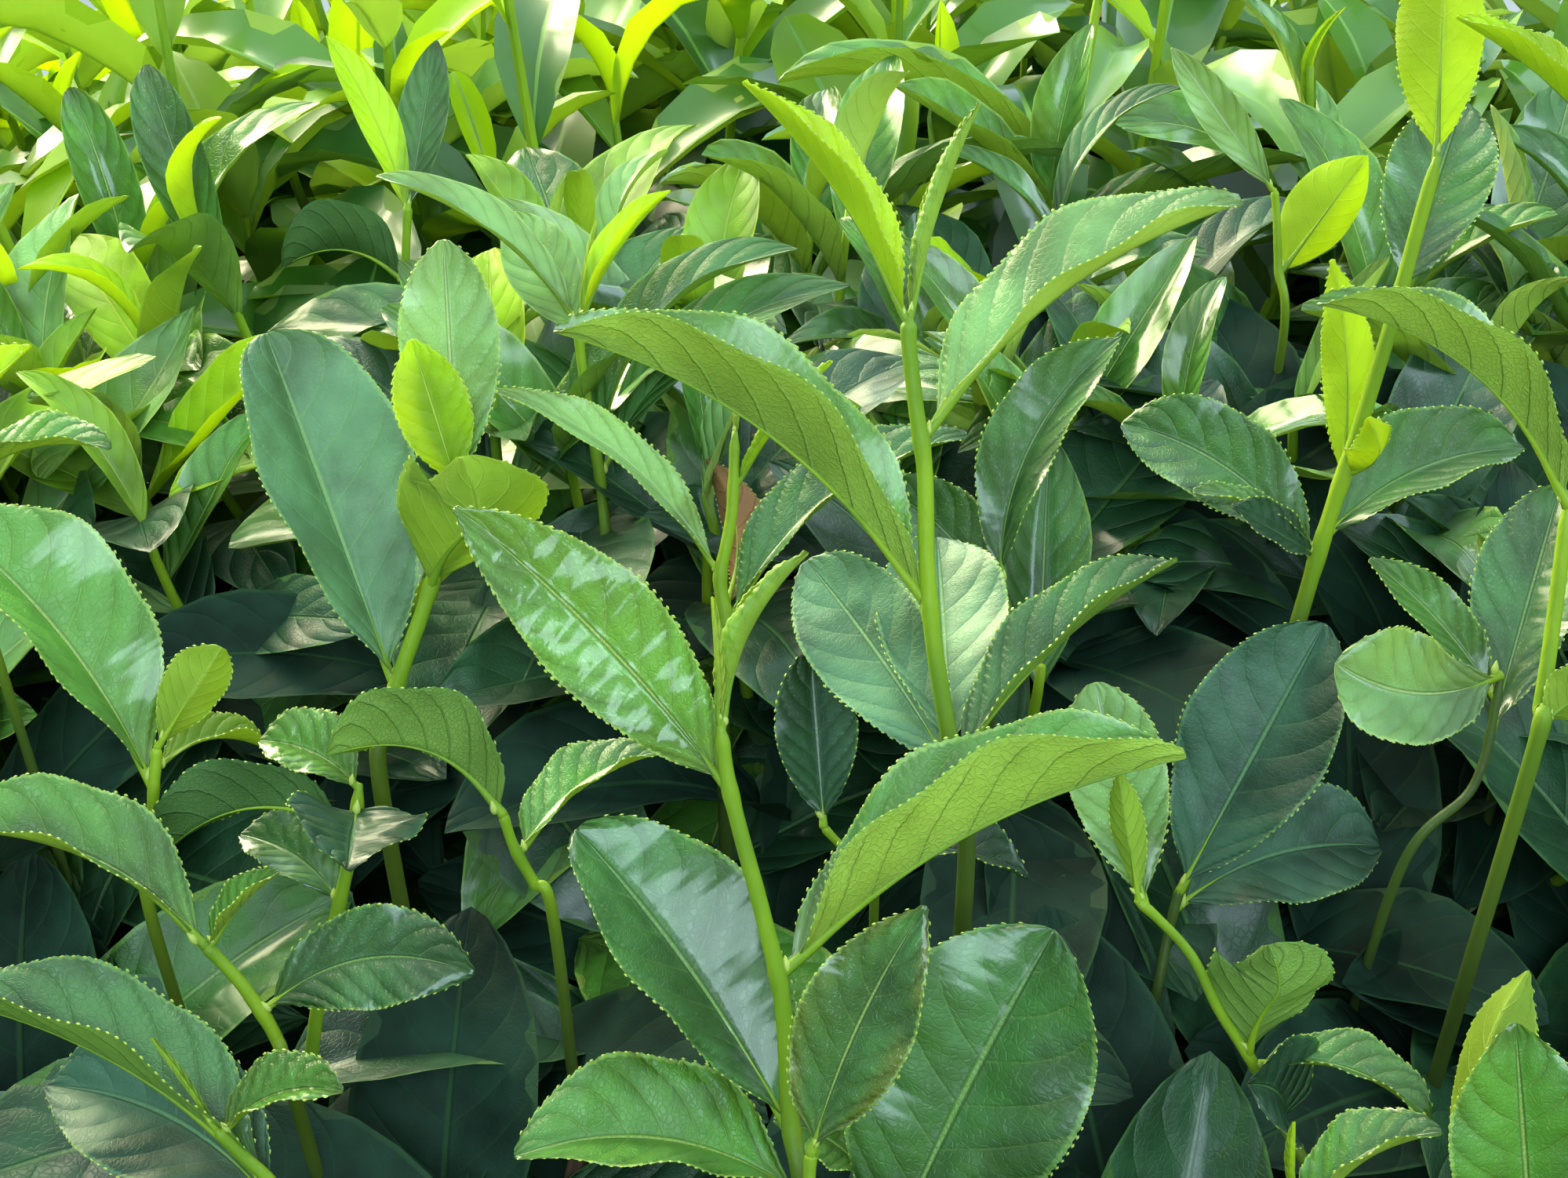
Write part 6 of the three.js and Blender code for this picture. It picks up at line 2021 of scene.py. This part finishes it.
@dataclass
class Studio:
    """A pale plain floor, lamps, a pale surround and the camera.

    Attributes:
        sight: The point of sight.
        lens: Focal length, in millimetres.
        film: Width of the film, in millimetres.
    """

    sight: Sight
    lens: float = 49.5
    film: float = 36

    def floor(self) -> None:
        """Adds a square floor 60 m wide, just under the bush's foot."""
        mesh = bpy.data.meshes.new("floor")
        far = 30.0
        mesh.from_pydata([(-far, -far, 0), (far, -far, 0), (far, far, 0), (-far, far, 0)], [], [(0, 1, 2, 3)])
        shader = Shader("floor")
        mottle = shader.noise(shader.object_place(), 3.0)
        colour = shader.mix(mottle, (216, 214, 208), (224, 222, 217))
        mesh.materials.append(shader.surface({"Base Color": colour, "Roughness": 0.8}))
        floor = bpy.data.objects.new("floor", mesh)
        bpy.context.scene.collection.objects.link(floor)

    def lamp(self, name: str, place: tuple, aim: tuple, wide: float, watts: float, tint: Colour) -> None:
        """Adds a square lamp that faces a point."""
        light = bpy.data.lights.new(name, "AREA")
        light.size = wide
        light.energy = watts
        light.color = linear(tint)[:3]
        lamp = bpy.data.objects.new(name, light)
        bpy.context.scene.collection.objects.link(lamp)
        off = np.array(aim) - np.array(place)
        flat = float(np.hypot(off[0], off[1]))
        lamp.location = place
        lamp.rotation_euler = (math.atan2(flat, -off[2]), 0, math.atan2(-off[0], off[1]))

    def light(self) -> None:
        """Adds two warm lamps behind on the left, and cool ones behind, above, in front and beside."""
        self.lamp("key", (-0.48, 0.62, 1.18), (-0.1, 0.05, 0.6), 0.75, 36, (255, 244, 200))
        self.lamp("low_key", (-1.0, 0.8, 1.1), (-0.24, 0.2, 0.6), 0.6, 20, (255, 250, 210))
        self.lamp("window", (0.2, 2.3, 2.0), (0, -0.2, 0.6), 2.4, 36, (206, 236, 246))
        self.lamp("overhead", (0.2, -0.3, 3.0), (0, 0, 0.5), 4.0, 50, (220, 240, 248))
        self.lamp("front", (-0.1, -2.1, 1.9), (0, -0.2, 0.55), 1.1, 38, (210, 238, 248))
        self.lamp("side", (2.1, -0.5, 2.1), (0, -0.2, 0.6), 0.85, 27, (210, 238, 248))
        world = bpy.data.worlds.new("surround")
        world.use_nodes = True
        ground = world.node_tree.nodes["Background"]
        ground.inputs["Color"].default_value = linear((212, 232, 246))
        ground.inputs["Strength"].default_value = 0.62
        bpy.context.scene.world = world
        bpy.context.scene.view_settings.view_transform = "Standard"

    def camera(self) -> None:
        """Sets the camera at the point of sight."""
        view = bpy.data.cameras.new("camera")
        view.lens = self.lens
        view.sensor_width = self.film
        view.clip_start = 0.02
        camera = bpy.data.objects.new("camera", view)
        camera.location = [c * METRES for c in self.sight.eye]
        camera.rotation_euler = (math.pi / 2 - self.sight.tilt, 0, 0)
        bpy.context.scene.collection.objects.link(camera)
        bpy.context.scene.camera = camera


def main() -> None:
    """Makes every piece in order."""
    logging.basicConfig(level=logging.INFO, format="%(message)s")
    crown, sight = Crown(), Sight()
    palette = LeafPalette(FINISHES)
    bark = WoodFinish("bark", (128, 112, 92), (58, 46, 36), (150, 154, 128), 0.12, 85, 2.2).material()
    wood = WoodFinish("twig_bark", (112, 84, 60), (62, 42, 30), (142, 128, 100), 0.1, 240, 0.8).material()
    # The green stems darken towards the foot: partly older wood, partly painted shade.
    stem = StemFinish("green_stem", foot=(66, 86, 36)).material()
    rib = StemFinish("leaf_rib").material()
    # Darker finish for hidden stems: partly older wood, partly painted shade.
    old_stem = StemFinish("old_stem", (72, 96, 40), (60, 76, 36)).material()

    studio = Studio(sight)
    studio.camera()
    studio.floor()
    studio.light()

    stems = Skin()
    points, feet = [], []
    for plan in HAND_SET:
        shoot = HandSetShoot(plan, sight, crown)
        piece, leaves = shoot.dress(palette)
        points.append(shoot.grow_stem(stems, leaves))
        corners = np.empty(len(piece.data.vertices) * 3, dtype=np.float32)
        piece.data.vertices.foreach_get("co", corners)
        points.append(corners.reshape(-1, 3) / METRES)
        feet.append(shoot.line()[0])
    piece = stems.object("stems_of_shoots", [stem, palette.bead(), wood, rib, old_stem])
    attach(piece, "root")

    low, high = (np.array(corner) / METRES for corner in solid_bounds)
    growth = Growth(crown, Clearing(sight, np.concatenate(points)), low - 12, high + 12)
    sprays = [growth.sprays(rule) for rule in (OLD_SPRAY, FRONT_SPRAY, YOUNG_SHOOT)]
    deep = [growth.deep(2500, 0.86, 63, 0.2), growth.deep(1700, 0.74, 68, 0.7)]
    foliage = Foliage(growth, palette)
    foliage.dress(sprays, deep)
    foliage.dress_stems(sprays, stem)

    limbs = Limbs(crown)
    limbs.dress(bark)
    starts = [spray.stems[:, 0] for spray in sprays]
    Twigs(limbs, crown).dress(np.concatenate([*starts, np.array(feet)]), wood)


if __name__ == "__main__":
    main()
